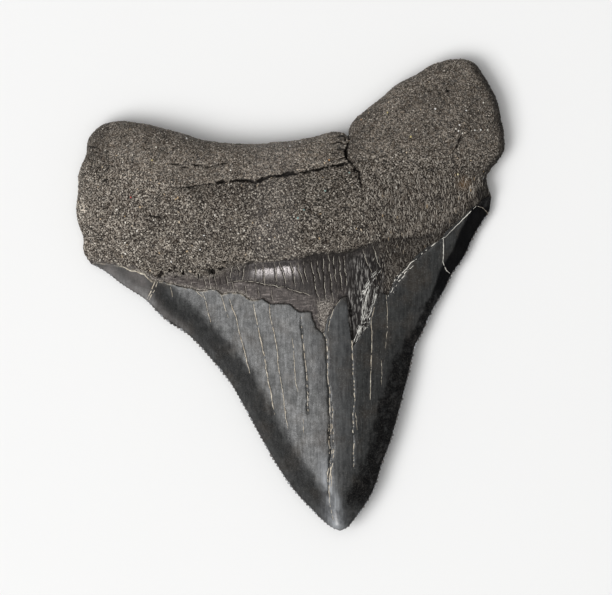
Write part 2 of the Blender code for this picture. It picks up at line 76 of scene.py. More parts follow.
Array = np.ndarray
Points = Sequence[Sequence[float]]
Colour = tuple[float, float, float]
Side = tuple[float, float]
Bounds = tuple[Sequence[float], Sequence[float]]
Socket = bpy.types.NodeSocket
Value = float | Colour | bpy.types.NodeSocket
Inputs = dict[str | int, Value]


class Slot(Enum):
    """The record's material slots."""

    ROOT = "root"
    ENAMEL = "enamel"
    MINERAL = "mineral"


# Outline, as (column, row) points of the view
LEFT_EDGE = (
    (91, 264), (105, 272), (122, 285), (145, 300), (164, 319), (188, 335), (210, 358), (230, 383),
    (244, 407), (256, 429), (274, 461), (295, 492), (309, 507), (324, 522), (332, 528), (340, 530.5),
)
RIGHT_EDGE = (
    (340, 530.5), (347, 528), (355, 519), (366, 504), (373, 492), (382, 465), (390, 444), (400, 409),
    (406, 386), (410, 370), (416, 345), (424, 330), (431, 314), (438, 302), (445, 290), (452, 275),
    (464, 258), (474, 237), (483, 222), (490, 211), (491.5, 197),
)
ROOT_OUTLINE = (
    (491.5, 197), (488, 187), (486, 179), (489.5, 170.5), (497, 161.5), (503.5, 151), (504.2, 137),
    (501, 120), (496.5, 100), (491, 88), (482.5, 73.5), (475, 63.5), (468, 60), (459, 59), (447, 60.3),
    (433, 64.6), (419, 73), (398, 84.2), (380, 99), (366, 110), (353.5, 121), (349, 129), (347.5, 136),
    (343.5, 133), (335.5, 132), (317, 136), (299, 140), (280, 142), (261, 144), (228, 143.5),
    (200, 139.5), (187, 135), (162, 128), (139, 123), (111, 122.3), (99, 127), (89, 138), (86, 155),
    (79, 173), (79, 189), (76.6, 211), (78, 221), (83, 235), (84, 252), (91, 264),
)

# Lines on the lingual face, from left to right. They run on past the outline at their ends.
ROOT_FOOT = (
    (60, 256), (96, 259), (120, 263), (134, 265), (143, 270), (157, 276), (170, 271), (189, 273),
    (203, 275), (215, 273), (233, 264), (257, 260), (278, 259), (297, 257), (316, 252), (348, 250),
    (368, 244), (383, 240), (399, 238), (419, 237), (436, 230), (452, 217), (468, 203), (482, 190),
    (520, 176),
)
ENAMEL_MARGIN = (
    (60, 262), (91, 262), (120, 265), (145, 273), (153, 281), (164, 282), (178, 286), (192, 288),
    (202, 292), (210, 289), (217, 290), (222, 295), (229, 293), (241, 293), (251, 301), (263, 299),
    (270, 303), (288, 304), (299, 312), (311, 312), (316, 328), (323, 333), (328, 317), (340, 299),
    (346, 296), (350, 330), (353, 346), (360, 335), (368, 326), (372, 305), (380, 292), (388, 295),
    (394, 279), (406, 266), (416, 256), (426, 248), (438, 241), (445, 233), (460, 219), (477, 204),
    (492, 192), (520, 178),
)
LABIAL_MARGIN = (
    (60, 262), (91, 259), (140, 240), (200, 220), (290, 206), (380, 198), (440, 195), (489, 193),
    (520, 190),
)
# Where coarse grain below gives way to finer, browner bone above
GRAIN_TOP = ((60, 150), (110, 165), (150, 186), (184, 189), (257, 183), (347, 165), (390, 156), (450, 160),
             (520, 150))
# The bright ridge that runs down to the tip
TIP_RIDGE = ((319, 440), (324, 465), (329, 490), (333, 505), (335.5, 514), (337, 524))
# The upper side of the matt band between the bourlette's gloss and the enamel
BAND_TOP = ((60, 270), (222, 284), (241.7, 281), (255, 282.5), (268, 285.7), (283, 288), (295, 290.5),
      (310, 296),
            (325, 303), (345, 310), (520, 300))
# The hidden end of the root's body, under the enamel, from left to right
ROOT_CORE_END = (
    (91, 264), (100, 266), (122, 271), (145, 280), (155, 289), (178, 293), (205, 299), (222, 302),
    (241, 300), (251, 308), (288, 312), (299, 319), (309, 321), (313, 335), (323, 345), (338, 350),
    (353, 358), (366, 344), (377, 322), (384, 305), (393, 304), (401, 286), (414, 271), (430, 258),
    (446, 249), (462, 232), (478, 215), (491.5, 197),
)
# The hidden end of the crown's body, under the root, from right to left
CROWN_CORE_END = ((491.5, 197), (480, 194), (440, 195), (380, 198), (290, 206), (200, 220), (140, 240),
                  (98, 258), (91, 264))
SLAB = ((110, 110), (110, 178), (184, 189), (221, 185), (257, 182), (305, 172), (347, 165), (346, 148),
        (350, 141), (348, 120), (300, 110))

# Heights in millimetres over spots of the root and the bourlette, before the rim is rounded
SPOTS = (
    (100, 140, 7.6), (96, 178, 8.7), (94, 215, 8.2), (98, 245, 6.2), (130, 140, 9.0), (130, 176, 10.6),
    (130, 210, 11.2), (130, 236, 9.8), (132, 256, 7.0), (150, 276, 5.8),
    (200, 150, 10.2), (200, 175, 12.4), (200, 205, 14.4), (200, 230, 14.2), (200, 252, 12.2),
    (200, 275, 9.8), (290, 152, 10.8), (290, 172, 13.0), (290, 194, 15.8), (290, 218, 17.9),
    (290, 236, 17.8), (290, 250, 16.3), (290, 264, 14.0), (290, 282, 12.9), (290, 306, 12.2),
    (264, 264, 13.3), (264, 280, 12.0), (322, 250, 16.1), (322, 266, 13.9), (322, 288, 12.6),
    (368, 125, 9.8), (368, 150, 12.2), (368, 184, 14.8), (368, 212, 15.6), (368, 238, 14.2),
    (368, 262, 12.0), (380, 292, 10.4), (420, 95, 9.6), (420, 130, 12.2), (420, 165, 13.6),
    (420, 198, 12.9), (420, 226, 10.9), (458, 78, 7.3), (460, 110, 9.8), (460, 150, 10.4),
    (460, 180, 9.2), (456, 208, 7.9), (488, 112, 6.8), (490, 145, 6.6), (486, 172, 5.2),
    (230, 310, 9.6), (345, 320, 10.4), (400, 270, 8.6),
)


@dataclass(frozen=True)
class ViewScale:
    """Turns (column, row) points of the straight-down view into metres."""

    length: float = 92.0 * MM
    tip_row: float = 530.5
    lobe_row: float = 59.0
    centre: tuple[float, float] = (290.54, 294.8)
    frame_size: tuple[int, int] = (612, 595)

    @property
    def pixel(self) -> float:
        """The width of one pixel of the view, in metres."""
        return self.length / (self.tip_row - self.lobe_row)

    def plan(self, points: Points | Array) -> Array:
        """Places view points on the plan.

        Args:
            points: (column, row) points, with further numbers ignored.

        Returns:
            An array of x and y in metres.
        """
        view = np.asarray(points, float)[:, :2]
        return (view - self.centre) * (self.pixel, -self.pixel)


VIEW = ViewScale()


def ramp(value: Array) -> Array:
    """Goes smoothly from 0 to 1 as the value does."""
    share = np.clip(value, 0, 1)
    return share * share * (3 - 2 * share)


@dataclass(frozen=True)
class Patch:
    """An area of the view with soft sides: the column or row of each side, and its softness."""

    left: Side | None = None
    right: Side | None = None
    top: Side | None = None
    bottom: Side | None = None

    def share(self, columns: Array, rows: Array) -> Array:
        """Tells how far view points lie inside the patch.

        Args:
            columns: The points' columns.
            rows: The points' rows.

        Returns:
            1 for a point well inside the patch, 0 for one outside it.
        """
        found = np.ones(len(columns))
        sides = ((columns, self.left, 1), (columns, self.right, -1),
                 (rows, self.top, 1), (rows, self.bottom, -1))
        for places, side, way in sides:
            if side:
                found = found * ramp(way * (places - side[0]) / side[1])
        return found


def bell(distance: Array, width: float | Array) -> Array:
    """1 at no distance, fading to 0 beyond about twice the width."""
    return np.exp(-((distance / width) ** 2))


def flat(points: Array) -> Array:
    """Plan points as places at height zero."""
    return np.hstack([points, np.zeros((len(points), 1))])


class Noise:
    """Repeatable noise, worked out for whole arrays of points at once."""

    PRIMES = np.array((73856093, 19349663, 83492791), dtype=np.int64)

    @classmethod
    def draw(cls, cells: Array, seed: int) -> Array:
        """Draws a number for each whole-number cell.

        Args:
            cells: The cells' whole numbers, three for each.
            seed: Picks the draw.

        Returns:
            A number from 0 to 1 for each cell, always the same.
        """
        mixed = (cells * cls.PRIMES).sum(-1) + seed * 1013904223
        mixed = (mixed ^ (mixed >> 15)) * 2246822519 & 0xFFFFFFFF
        mixed = (mixed ^ (mixed >> 13)) * 3266489917 & 0xFFFFFFFF
        return ((mixed ^ (mixed >> 16)) & 0xFFFFFF) / float(0x1000000)

    @classmethod
    def value(cls, points: Array, size: float | Array, seed: int) -> Array:
        """Smooth waves.

        Args:
            points: Places in three dimensions.
            size: The waves' length, or one for each axis.
            seed: Picks the pattern.

        Returns:
            A number from -1 to 1 for each point.
        """
        scaled = points / size
        low = np.floor(scaled).astype(np.int64)
        part = ramp(scaled - low)
        total = np.zeros(len(points))
        for corner in itertools.product((0, 1), repeat=3):
            weight = np.prod(np.where(corner, part, 1 - part), axis=1)
            total += weight * cls.draw(low + corner, seed)
        return 2 * total - 1

    @classmethod
    def layered(cls, points: Array, size: float | Array, seed: int, layers: int = 3) -> Array:
        """Smooth waves with finer ones of half the depth on them."""
        waves = [cls.value(points, size / 2**k, seed + k) / 2**k for k in range(layers)]
        return np.sum(waves, axis=0) / (2 - 2 ** (1 - layers))

@dataclass
class Line:
    """A line of plan points, in metres."""

    points: Array

    @classmethod
    def straight(cls, corners: Points) -> Line:
        """A line with straight stretches between view points."""
        return cls(VIEW.plan(corners))

    @classmethod
    def curved(cls, corners: Points, steps: int = 6) -> Line:
        """A smooth curve through view points.

        Args:
            corners: (column, row) points to pass through.
            steps: How many stretches to make between two of them.

        Returns:
            The curve as a dense line.
        """
        knots = VIEW.plan(corners)
        gaps = np.linalg.norm(np.diff(knots, axis=0), axis=1)[:, None]
        slopes = np.diff(knots, axis=0) / gaps
        tangents = np.empty_like(knots)
        tangents[0], tangents[-1] = slopes[0], slopes[-1]
        tangents[1:-1] = (slopes[:-1] * gaps[1:] + slopes[1:] * gaps[:-1]) / (gaps[:-1] + gaps[1:])
        t = np.linspace(0, 1, steps, endpoint=False)[None, :, None]
        start, end = knots[:-1, None], knots[1:, None]
        leave, arrive = tangents[:-1, None] * gaps[:, None], tangents[1:, None] * gaps[:, None]
        curve = (
            (2 * t**3 - 3 * t**2 + 1) * start + (t**3 - 2 * t**2 + t) * leave
            + (3 * t**2 - 2 * t**3) * end + (t**3 - t**2) * arrive
        )
        return cls(np.vstack([curve.reshape(-1, 2), knots[-1]]))

    def travel(self) -> Array:
        """The distance from the line's start to each of its points."""
        steps = np.linalg.norm(np.diff(self.points, axis=0), axis=1)
        return np.concatenate([[0], np.cumsum(steps)])

    def spaced(self, gap: float, even: bool = False) -> Line:
        """The same line with points at equal gaps.

        Args:
            gap: The gap to come close to.
            even: Whether the count of gaps must be even.

        Returns:
            The line with its new points.
        """
        travel = self.travel()
        count = max(2, round(travel[-1] / gap))
        count += count % 2 if even else 0
        stops = np.linspace(0, travel[-1], count + 1)
        return Line(np.stack([np.interp(stops, travel, self.points[:, k]) for k in (0, 1)], axis=1))

    def normals(self) -> Array:
        """Finds the directions across the line.

        Returns:
            A unit normal for each point, to the right of the line's direction.
        """
        tangent = np.gradient(self.points, axis=0)
        tangent /= np.linalg.norm(tangent, axis=1)[:, None]
        return np.stack([tangent[:, 1], -tangent[:, 0]], axis=1)

    def shifted(self, offset: float | Array) -> Array:
        """The line's points moved to the right of its direction, by one offset or one for each."""
        return self.points + np.reshape(offset, (-1, 1)) * self.normals()

    def beside(self, gap: float, offsets: Sequence[float]) -> Array:
        """Rows of points along the line, at set offsets to its right."""
        even = self.spaced(gap)
        return np.vstack([even.shifted(offset) for offset in offsets])

    def ragged(self, gap: float, amount: float, seed: int) -> Line:
        """Breaks the line into short stretches that wander a little, with its ends kept.

        Args:
            gap: The length of a stretch.
            amount: How far it wanders.
            seed: Picks the pattern.

        Returns:
            The broken line.
        """
        even = self.spaced(gap)
        place = flat(even.points)
        sway = amount * (Noise.value(place, 3 * gap, seed) + 0.7 * Noise.value(place, gap, seed + 1))
        ends = ramp(np.minimum(even.travel(), even.travel()[::-1].copy()) / (3 * gap))
        ends = np.minimum(ends, ends[::-1])
        return Line(even.shifted(sway * ends))

    @cached_property
    def pieces(self) -> tuple[Array, kdtree.KDTree]:
        """Cuts the line into short pieces, once.

        Returns:
            The ends of the pieces, and a tree that finds the nearest of them.
        """
        gap = 0.25 * MM
        lengths = np.linalg.norm(np.diff(self.points, axis=0), axis=1)
        parts = [np.linspace(start, end, math.ceil(length / gap), endpoint=False)
                 for start, end, length in zip(self.points[:-1], self.points[1:], lengths + 1e-9)]
        short = np.vstack([*parts, self.points[-1:]])
        tree = kdtree.KDTree(len(short))
        for index, (x, y) in enumerate(short.tolist()):
            tree.insert((x, y, 0), index)
        tree.balance()
        return short, tree

    def distance(self, points: Array) -> Array:
        """Measures how far points are from the line.

        Args:
            points: Plan points.

        Returns:
            The distance from each to the nearest spot of the line.
        """
        short, tree = self.pieces
        nearest = np.array([tree.find((x, y, 0))[1] for x, y in points.tolist()], int)
        found = np.full(len(points), np.inf)
        for start in (np.maximum(nearest - 1, 0), np.minimum(nearest, len(short) - 2)):
            step, offset = short[start + 1] - short[start], points - short[start]
            share = np.clip((offset * step).sum(1) / (step**2).sum(1), 0, 1)
            found = np.minimum(found, np.linalg.norm(offset - share[:, None] * step, axis=1))
        return found

    def above(self, points: Array) -> Array:
        """The signed distance to a line that runs left to right, positive towards the root."""
        level = np.interp(points[:, 0], self.points[:, 0], self.points[:, 1])
        return self.distance(points) * np.sign(points[:, 1] - level)

    def ends(self, points: Array) -> Array:
        """The distance from each plan point to the nearer end of the line."""
        return np.linalg.norm(points[:, None] - self.points[[0, -1]][None], axis=2).min(1)


def inside(points: Array, ring: Array) -> Array:
    """Tells which plan points lie inside a closed ring.

    Args:
        points: The points.
        ring: The ring's corners.

    Returns:
        True for each point that does.
    """
    found = []
    ax, ay = ring[:, 0], ring[:, 1]
    bx, by = np.roll(ax, -1), np.roll(ay, -1)
    slope = (bx - ax) / np.where(by == ay, 1, by - ay)
    for block in np.array_split(points, max(1, len(points) // 3000)):
        x, y = block[:, :1], block[:, 1:]
        crosses = (ay > y) != (by > y)
        found.append((crosses & (x < ax + (y - ay) * slope)).sum(1) % 2 == 1)
    return np.concatenate(found)


@dataclass(frozen=True)
class Crack:
    """A crack or a mineral vein, as view points with its half width and depth in metres."""

    corners: Points
    half_width: float
    depth: float
    seed: int = 1
    wander: float = 0.09 * MM

    @classmethod
    def rows(cls, *rows: tuple) -> tuple[Crack, ...]:
        """Makes cracks.

        Args:
            rows: For each, its view points, half width and depth in millimetres, seed, and how far
                it wanders in millimetres where that isn't the usual.

        Returns:
            The cracks, in the same order.
        """
        return tuple(cls(corners, wide * MM, deep * MM, seed, *(sway * MM for sway in wander))
                     for corners, wide, deep, seed, *wander in rows)

    @property
    def chipped(self) -> float:
        """How much the crack's width changes from grain to grain."""
        return 0.6 if self.depth > 0.4 * MM else 0.15

    @property
    def is_open(self) -> bool:
        """Whether the mineral stands beside a gap instead of filling it."""
        return self.depth > 0.2 * MM

    @cached_property
    def line(self) -> Line:
        """The crack's wandering line."""
        return Line.straight(self.corners).ragged(0.4 * MM, self.wander, self.seed)

    def groove(self, points: Array) -> Array:
        """Sinks the groove, which is shallower near its ends.

        Args:
            points: Plan points.

        Returns:
            The depth at each point.
        """
        line, margin = self.line, 6 * self.half_width
        low, high = line.points.min(0) - margin, line.points.max(0) + margin
        close = np.all((points > low) & (points < high), axis=1)
        near = points[close]
        place = flat(near)
        width = self.half_width * (1 + 0.55 * Noise.value(place, 1.7 * MM, self.seed + 20))
        width *= 1 + self.chipped * Noise.value(place, 0.45 * MM, self.seed + 40)
        shape = 1 - ramp(line.distance(near) / (1.7 * width))
        depth = np.zeros(len(points))
        depth[close] = self.depth * shape * (0.3 + 0.7 * ramp(line.ends(near) / (1.5 * MM)))
        return depth


ROOT_CRACKS = Crack.rows(
    (((176, 190), (200, 186.5), (217, 184.5)), 0.13, 0.5, 3),
    (((217, 184.5), (225, 182.5), (250, 181.5), (256, 184)), 0.2, 1.2, 4),
    (((256, 184), (265, 179), (280, 176.5), (293, 175), (310, 172.5)), 0.27, 1.6, 5),
    (((310, 172.5), (320, 170), (332, 167), (347, 164.5)), 0.2, 1.4, 6),
    (((257, 182), (256, 186), (257, 191)), 0.2, 0.7, 7),
    (((167, 164), (175, 165.5), (183, 165.5)), 0.11, 0.6, 8, 0.16),
    (((180, 168.5), (186, 168), (191, 168.5)), 0.12, 0.6, 18, 0.16),
    (((188, 165.5), (197, 166.5), (205, 166)), 0.14, 0.8, 19, 0.16),
    (((204, 168), (210, 168.5), (216, 167)), 0.14, 0.8, 20, 0.16),
    (((214, 165.5), (222, 165), (230, 163.5)), 0.13, 0.7, 21, 0.16),
    (((86, 146), (93, 147.5), (100, 149)), 0.12, 0.5, 22),
    (((347.5, 296), (350, 306), (351.5, 318), (352.5, 330), (353, 340)), 0.15, 0.8, 26),
    (((88.5, 201), (90.5, 207), (89, 214)), 0.11, 0.5, 23),
    (((147, 216), (156, 217), (166, 219)), 0.14, 0.6, 9),
    (((347.5, 131), (350, 141), (346, 148), (346, 156), (349, 162), (352, 165)), 0.19, 1.6, 10, 0.2),
    (((352, 165), (356, 171), (359, 180), (361, 192), (363, 200)), 0.17, 1.0, 11, 0.22),
    (((335, 138), (341, 137.5), (347, 139)), 0.14, 0.8, 12, 0.14),
    (((331, 145), (338, 144), (345, 145.5)), 0.14, 0.8, 13, 0.14),
    (((337, 150.5), (342, 150), (347, 151)), 0.13, 0.8, 14, 0.14),
    (((328, 153.5), (335, 155), (344, 154.5)), 0.13, 0.7, 24, 0.14),
    (((337, 160), (347, 159)), 0.13, 0.7, 25, 0.14),
    (((461, 134), (458, 143), (454, 150), (449, 158)), 0.13, 0.55, 15),
    (((357, 162), (367, 162), (378, 159), (390, 156)), 0.13, 0.4, 16, 0.16),
)
ENAMEL_VEINS = Crack.rows(
    (((203, 293), (206, 300), (211, 322)), 0.10, 0.07, 31),
    (((196, 290), (203, 297)), 0.09, 0.06, 32),
    (((221, 294), (226, 309), (229, 318)), 0.09, 0.06, 33),
    (((230, 299), (236, 316), (241, 337), (247, 359), (250, 373)), 0.12, 0.08, 34),
    (((254, 304), (259, 331), (264, 354), (269, 383), (274, 409), (275, 414)), 0.12, 0.08, 35),
    (((269, 302), (271, 319), (276, 341), (278, 360), (281, 381), (284, 402), (286, 418), (288, 428)),
          0.09, 0.06, 36),
    (((292, 336), (294, 355), (295, 377), (298, 391)), 0.08, 0.05, 37),
    (((301, 317), (302, 335), (304, 351), (306, 370), (307, 390), (308, 418)), 0.14, 0.22, 38),
    (((303, 418), (304, 435)), 0.08, 0.05, 39),
    (((323, 333), (326, 339), (327, 354), (327, 379), (329, 391), (329, 405), (330, 420)),
          0.15, 0.3, 40),
    (((330, 420), (330, 435), (331, 448), (330, 463), (329, 478), (328, 490), (329, 499)),
          0.22, 0.35, 41),
    (((329, 499), (331, 510), (334, 522)), 0.08, 0.06, 42),
    (((332, 402), (332, 428), (333, 450), (331.5, 468), (330.5, 486)), 0.10, 0.21, 58, 0.17),
    (((328.5, 424), (329.5, 446), (328, 466), (327, 484)), 0.09, 0.21, 59, 0.17),
    (((328, 331), (330, 318), (334, 307), (340, 300)), 0.07, 0.05, 60),
    (((347, 299), (350, 317), (351, 335), (352, 360), (353, 379), (354, 399), (352, 417), (353, 444),
           (353, 467)), 0.12, 0.22, 43),
    (((355, 412), (357, 429)), 0.07, 0.06, 44),
    (((374, 307), (371, 319), (372, 345), (371, 360), (370, 379), (370, 400)), 0.08, 0.08, 45),
    (((385, 290), (387, 309), (387, 328), (385, 348)), 0.055, 0.05, 46),
    (((381, 360), (381, 386)), 0.05, 0.05, 47),
    (((120, 265.5), (130, 270), (145, 274.5), (152, 282)), 0.12, 0.08, 48),
    (((155.5, 281), (152, 290), (147, 299)), 0.26, 0.1, 49),
    (((158, 282), (154.5, 291), (149, 300)), 0.16, 0.08, 50),
    (((171, 287), (173, 297)), 0.08, 0.05, 51),
    (((390, 295), (396, 281), (407, 268), (415, 260), (426, 251), (433, 246), (444, 238)),
          0.15, 0.21, 52, 0.14),
    (((388, 297), (392, 285), (401, 270), (409, 262)), 0.12, 0.21, 54, 0.2),
    (((393, 293), (399, 281), (406, 273), (413, 266)), 0.10, 0.21, 55, 0.2),
    (((444, 238), (461, 221), (476, 206)), 0.09, 0.08, 56),
    (((476, 206), (483, 208.5), (489, 214)), 0.06, 0.05, 57),
    (((443, 239), (443, 262), (446, 270), (452, 276)), 0.09, 0.08, 53),
)
# The veins of the right margin, whose mineral is crumbled and white
WHITE_VEINS = range(52, 57)
# Crystals on the root: column, row and tone, from 0 white through yellow, orange and green to 1 red
GLINTS = (
    (187, 139, 0), (290, 147, 0), (434.5, 110, 0), (458.5, 126, 0), (455, 130, 0.1), (457.5, 132, 0),
    (465.5, 111.5, 0),
    (474, 131, 0), (480, 130.5, 0), (487, 130.5, 0.1), (205, 236, 0), (457, 175, 0.2), (153, 161, 0.25),
    (410, 138, 0.25),
    (387, 113.5, 0.25), (361, 120.5, 0.5), (329, 161, 0.5), (325, 192, 0.7), (304, 211, 0.75),
    (298, 219, 0.75),
    (349, 174, 0.7), (132, 198, 1), (157, 148, 0.1), (172, 262, 0), (201, 250, 0), (245, 231, 0.1),
    (268, 226, 0),
)
# Fine crazed lines down the bourlette
BOURLETTE_LINES = (
    ((231, 278), (231.5, 269), (235, 265.5), (239, 268), (240, 277)),
    ((245.8, 264), (243.3, 272), (242.5, 280)),
    ((255, 262), (256.7, 272), (255, 282)), ((263, 264), (264, 276), (265, 286)),
    ((274, 263), (275, 272), (276.7, 287)), ((279, 263), (282.5, 272), (285.3, 281), (285.7, 289)),
    ((290, 263), (293.3, 272), (295, 287)), ((297.5, 262), (299, 272), (303.3, 284)),
    ((303.3, 262), (305, 272), (307, 282)), ((310.8, 260), (312.5, 272), (315, 286), (318.3, 297)),
    ((316.7, 260), (318.3, 271), (320, 280)), ((322.5, 257), (323.3, 272), (325, 290), (325.8, 300)),
    ((327.5, 255), (329, 269), (331.7, 291), (333, 300)), ((333.3, 255), (333.5, 266), (336, 282)),
    ((338.3, 257), (340, 272), (341.7, 291)), ((343.5, 254), (344.5, 270), (346, 286)),
    ((199, 269), (200, 280)), ((214, 274), (217, 286)), ((226.5, 276), (229, 288)),
    ((231, 279), (234, 289)),
    ((204, 278), (207, 288)), ((209, 277), (211, 287)), ((221, 277), (223, 289)), ((190, 277), (192, 285)),
    ((236, 284), (238, 292)), ((245, 285), (247, 295)), ((258, 287), (259, 297)), ((271, 290), (273, 301)),
    ((228, 283), (241.7, 281), (255, 282.5), (268, 285.7), (283, 288), (295, 290.5), (310, 296)),
    ((362, 250), (366, 262), (371, 272)), ((372, 246), (375, 258), (380, 268)),
    ((384, 243), (387, 254), (392, 263)),
)
# Pits of the root: column, row, radius and depth in millimetres
PITS = (
    (447, 92, 0.42, 0.9), (271, 168.5, 0.35, 0.6), (282, 165, 0.28, 0.4), (170, 271, 0.4, 0.8),
    (176, 277, 0.35, 0.6), (184, 273, 0.4, 0.8), (196, 273, 0.35, 0.7), (201, 272, 0.25, 0.5),
    (214, 273, 0.35, 0.7), (222, 269, 0.32, 0.6), (96, 201, 0.35, 0.5), (396, 118, 0.35, 0.5),
    (432, 186, 0.35, 0.5), (408, 216, 0.35, 0.5), (246, 265, 0.3, 0.4), (354, 171, 0.55, 1.1),
    (356, 178, 0.4, 0.9), (345, 141, 0.4, 0.9), (139, 172, 0.3, 0.6),
    (175, 149, 0.3, 0.6), (236, 174, 0.35, 0.6), (98, 153, 0.3, 0.5), (479, 167, 0.3, 0.6),
    (481, 163, 0.25, 0.5),
)
# Smooth chipped facets of the root: column, row and radius in millimetres
CHIPS = ((91, 141, 0.9), (84, 208, 1.0))
BOURLETTE_CRACKS = Crack.rows(*(
    (corners, 0.095, 0.28, 120 + index, 0.17) for index, corners in enumerate(BOURLETTE_LINES)))
ROOT_GROOVES = (*ROOT_CRACKS, *BOURLETTE_CRACKS)
# Where the gap along the enamel's margin stands open: below the bourlette, and beside the leaf of enamel
OPEN_MARGIN = Patch(left=(252, 10), right=(335, 10))
OPEN_LEAF = Patch(left=(341, 3), right=(357, 4), top=(292, 6))
# Lines that the torn fibres of the notch follow
SPALL_STRANDS = (
    ((381, 268), (372, 278), (366, 287), (362.5, 294), (361, 301)),
    ((371, 280), (366, 297), (364.5, 314), (359, 331), (353, 347)),
    ((377, 286), (374, 303), (369, 316), (362, 330), (355.5, 342)),
)


def spall_fibres(each: int = 21) -> tuple[Crack, ...]:
    """The short torn fibres of the notch in the enamel.

    Args:
        each: How many fibres follow each strand.

    Returns:
        The fibres as shallow cracks, for their lines.
    """
    fibres = []
    for strand, corners in enumerate(SPALL_STRANDS):
        cells = np.column_stack([np.arange(each), np.full(each, strand), np.zeros(each)]).astype(np.int64)
        first, span, across, sway = (Noise.draw(cells, seed) for seed in (201, 202, 203, 204))
        path = Line(np.array(corners, float)).spaced(1.5)
        for k in range(each):
            reach = len(path.points) - 1
            start = int(0.78 * reach * first[k])
            end = min(reach, start + 4 + int(0.42 * reach * span[k]))
            points = path.shifted(5.2 * (across[k] - 0.5))[start:end + 1]
            points[:, 0] += np.linspace(0, 3 * (sway[k] - 0.5), len(points))
            fibres.append((points.tolist(), 0.11, 0.12, 230 + 20 * strand + k, 0.14))
    return Crack.rows(*fibres)


class Landmarks:
    """The tooth's own lines at their real size."""

    def __init__(self) -> None:
        """Places every line on the plan."""
        self.left = Line.curved(LEFT_EDGE)
        self.right = Line.curved(RIGHT_EDGE)
        self.root = Line.curved(ROOT_OUTLINE)
        self.outline = Line(np.vstack([self.left.points[:-1], self.right.points[:-1], self.root.points]))
        self.foot = Line.straight(ROOT_FOOT).ragged(0.6 * MM, 0.12 * MM, 60)
        self.margin = Line.straight(ENAMEL_MARGIN).ragged(0.38 * MM, 0.13 * MM, 61)
        self.labial = Line.curved(LABIAL_MARGIN)
        self.grain_top = Line.straight(GRAIN_TOP)
        self.band = Line.straight(BAND_TOP)
        self.tip_ridge = Line.straight(TIP_RIDGE)
        self.slab = VIEW.plan(SLAB)


MARKS = Landmarks()


class Survey:
    """The distances from plan points to the tooth's own lines, each worked out once."""

    def __init__(self, points: Array) -> None:
        """Takes the plan points to survey."""
        self.points = points

    @cached_property
    def columns(self) -> Array:
        """Each point's column in the view."""
        return self.points[:, 0] / VIEW.pixel + VIEW.centre[0]

    @cached_property
    def rows(self) -> Array:
        """Each point's row in the view."""
        return VIEW.centre[1] - self.points[:, 1] / VIEW.pixel

    @cached_property
    def inset(self) -> Array:
        """How far each point lies inside the outline."""
        return MARKS.outline.distance(self.points)

    @cached_property
    def foot(self) -> Array:
        """The signed distance to the foot of the root, positive on the root."""
        return MARKS.foot.above(self.points)

    @cached_property
    def enamel(self) -> Array:
        """The signed distance to the enamel's margin, positive on the enamel."""
        return -MARKS.margin.above(self.points)

    @cached_property
    def labial(self) -> Array:
        """The signed distance to the labial margin, positive on the root."""
        return MARKS.labial.above(self.points)

    @cached_property
    def left(self) -> Array:
        """The distance to the left cutting edge."""
        return MARKS.left.distance(self.points)

    @cached_property
    def right(self) -> Array:
        """The distance to the right cutting edge."""
        return MARKS.right.distance(self.points)

    @cached_property
    def fine(self) -> Array:
        """1 where the root's bone is fine and brown, 0 where it is coarsely granular."""
        return ramp(0.5 + MARKS.grain_top.above(self.points) / (5 * MM))

    @cached_property
    def away(self) -> Array:
        """0 on the outline, 1 from 2 mm inside it."""
        return ramp(self.inset / (2 * MM))

    @cached_property
    def place(self) -> Array:
        """The points as places at height zero, for noise."""
        return flat(self.points)

    def share(self, patch: Patch) -> Array:
        """How far each point lies inside a patch of the view, from 0 to 1."""
        return patch.share(self.columns, self.rows)

    def lumps(self, size: float, seed: float) -> Array:
        """Smooth random waves over the plan, the same as in the CAD solid."""
        return np.array([noise.noise(Vector((x / size, y / size, seed))) for x, y in self.points])


class HeightSpline:
    """A thin plate that bends smoothly through heights over spots of the plan."""

    def __init__(self, spots: Points) -> None:
        """Bends the plate through the spots.

        Args:
            spots: Column, row and height in millimetres of each.
        """
        self.at = VIEW.plan(spots)
        heights = np.array([spot[2] * MM for spot in spots])
        count = len(spots)
        system = np.zeros((count + 3, count + 3))
        system[:count, :count] = self.bend(self.at)
        system[:count, count] = 1
        system[:count, count + 1:] = self.at
        system[count:, :count] = system[:count, count:].T
        self.weights = np.linalg.solve(system, np.concatenate([heights, np.zeros(3)]))

    def bend(self, points: Array) -> Array:
        """The plate's answer at each point to a push at each spot."""
        square = ((points[:, None] - self.at[None]) ** 2).sum(2)
        return 0.5 * square * np.log(np.maximum(square, 1e-18))

    def heights(self, points: Array) -> Array:
        """The plate's height over each plan point."""
        terms = np.hstack([self.bend(points), np.ones((len(points), 1)), points])
        return terms @ self.weights


@dataclass(frozen=True)
class Bevel:
    """A face that rises behind a cutting edge: where each slope starts, and how steep it is."""

    zones: tuple[tuple[float, float], ...]
    blend: float = 0.5 * MM

    def rise(self, inset: Array) -> Array:
        """Raises the face.

        Args:
            inset: How far each point is in from the edge.

        Returns:
            The face's height above the edge.
        """
        total, before = self.zones[0][1] * inset, self.zones[0][1]
        for start, slope in self.zones[1:]:
            total = total + (slope - before) * self.blend * np.logaddexp(0, (inset - start) / self.blend)
            before = slope
        return total


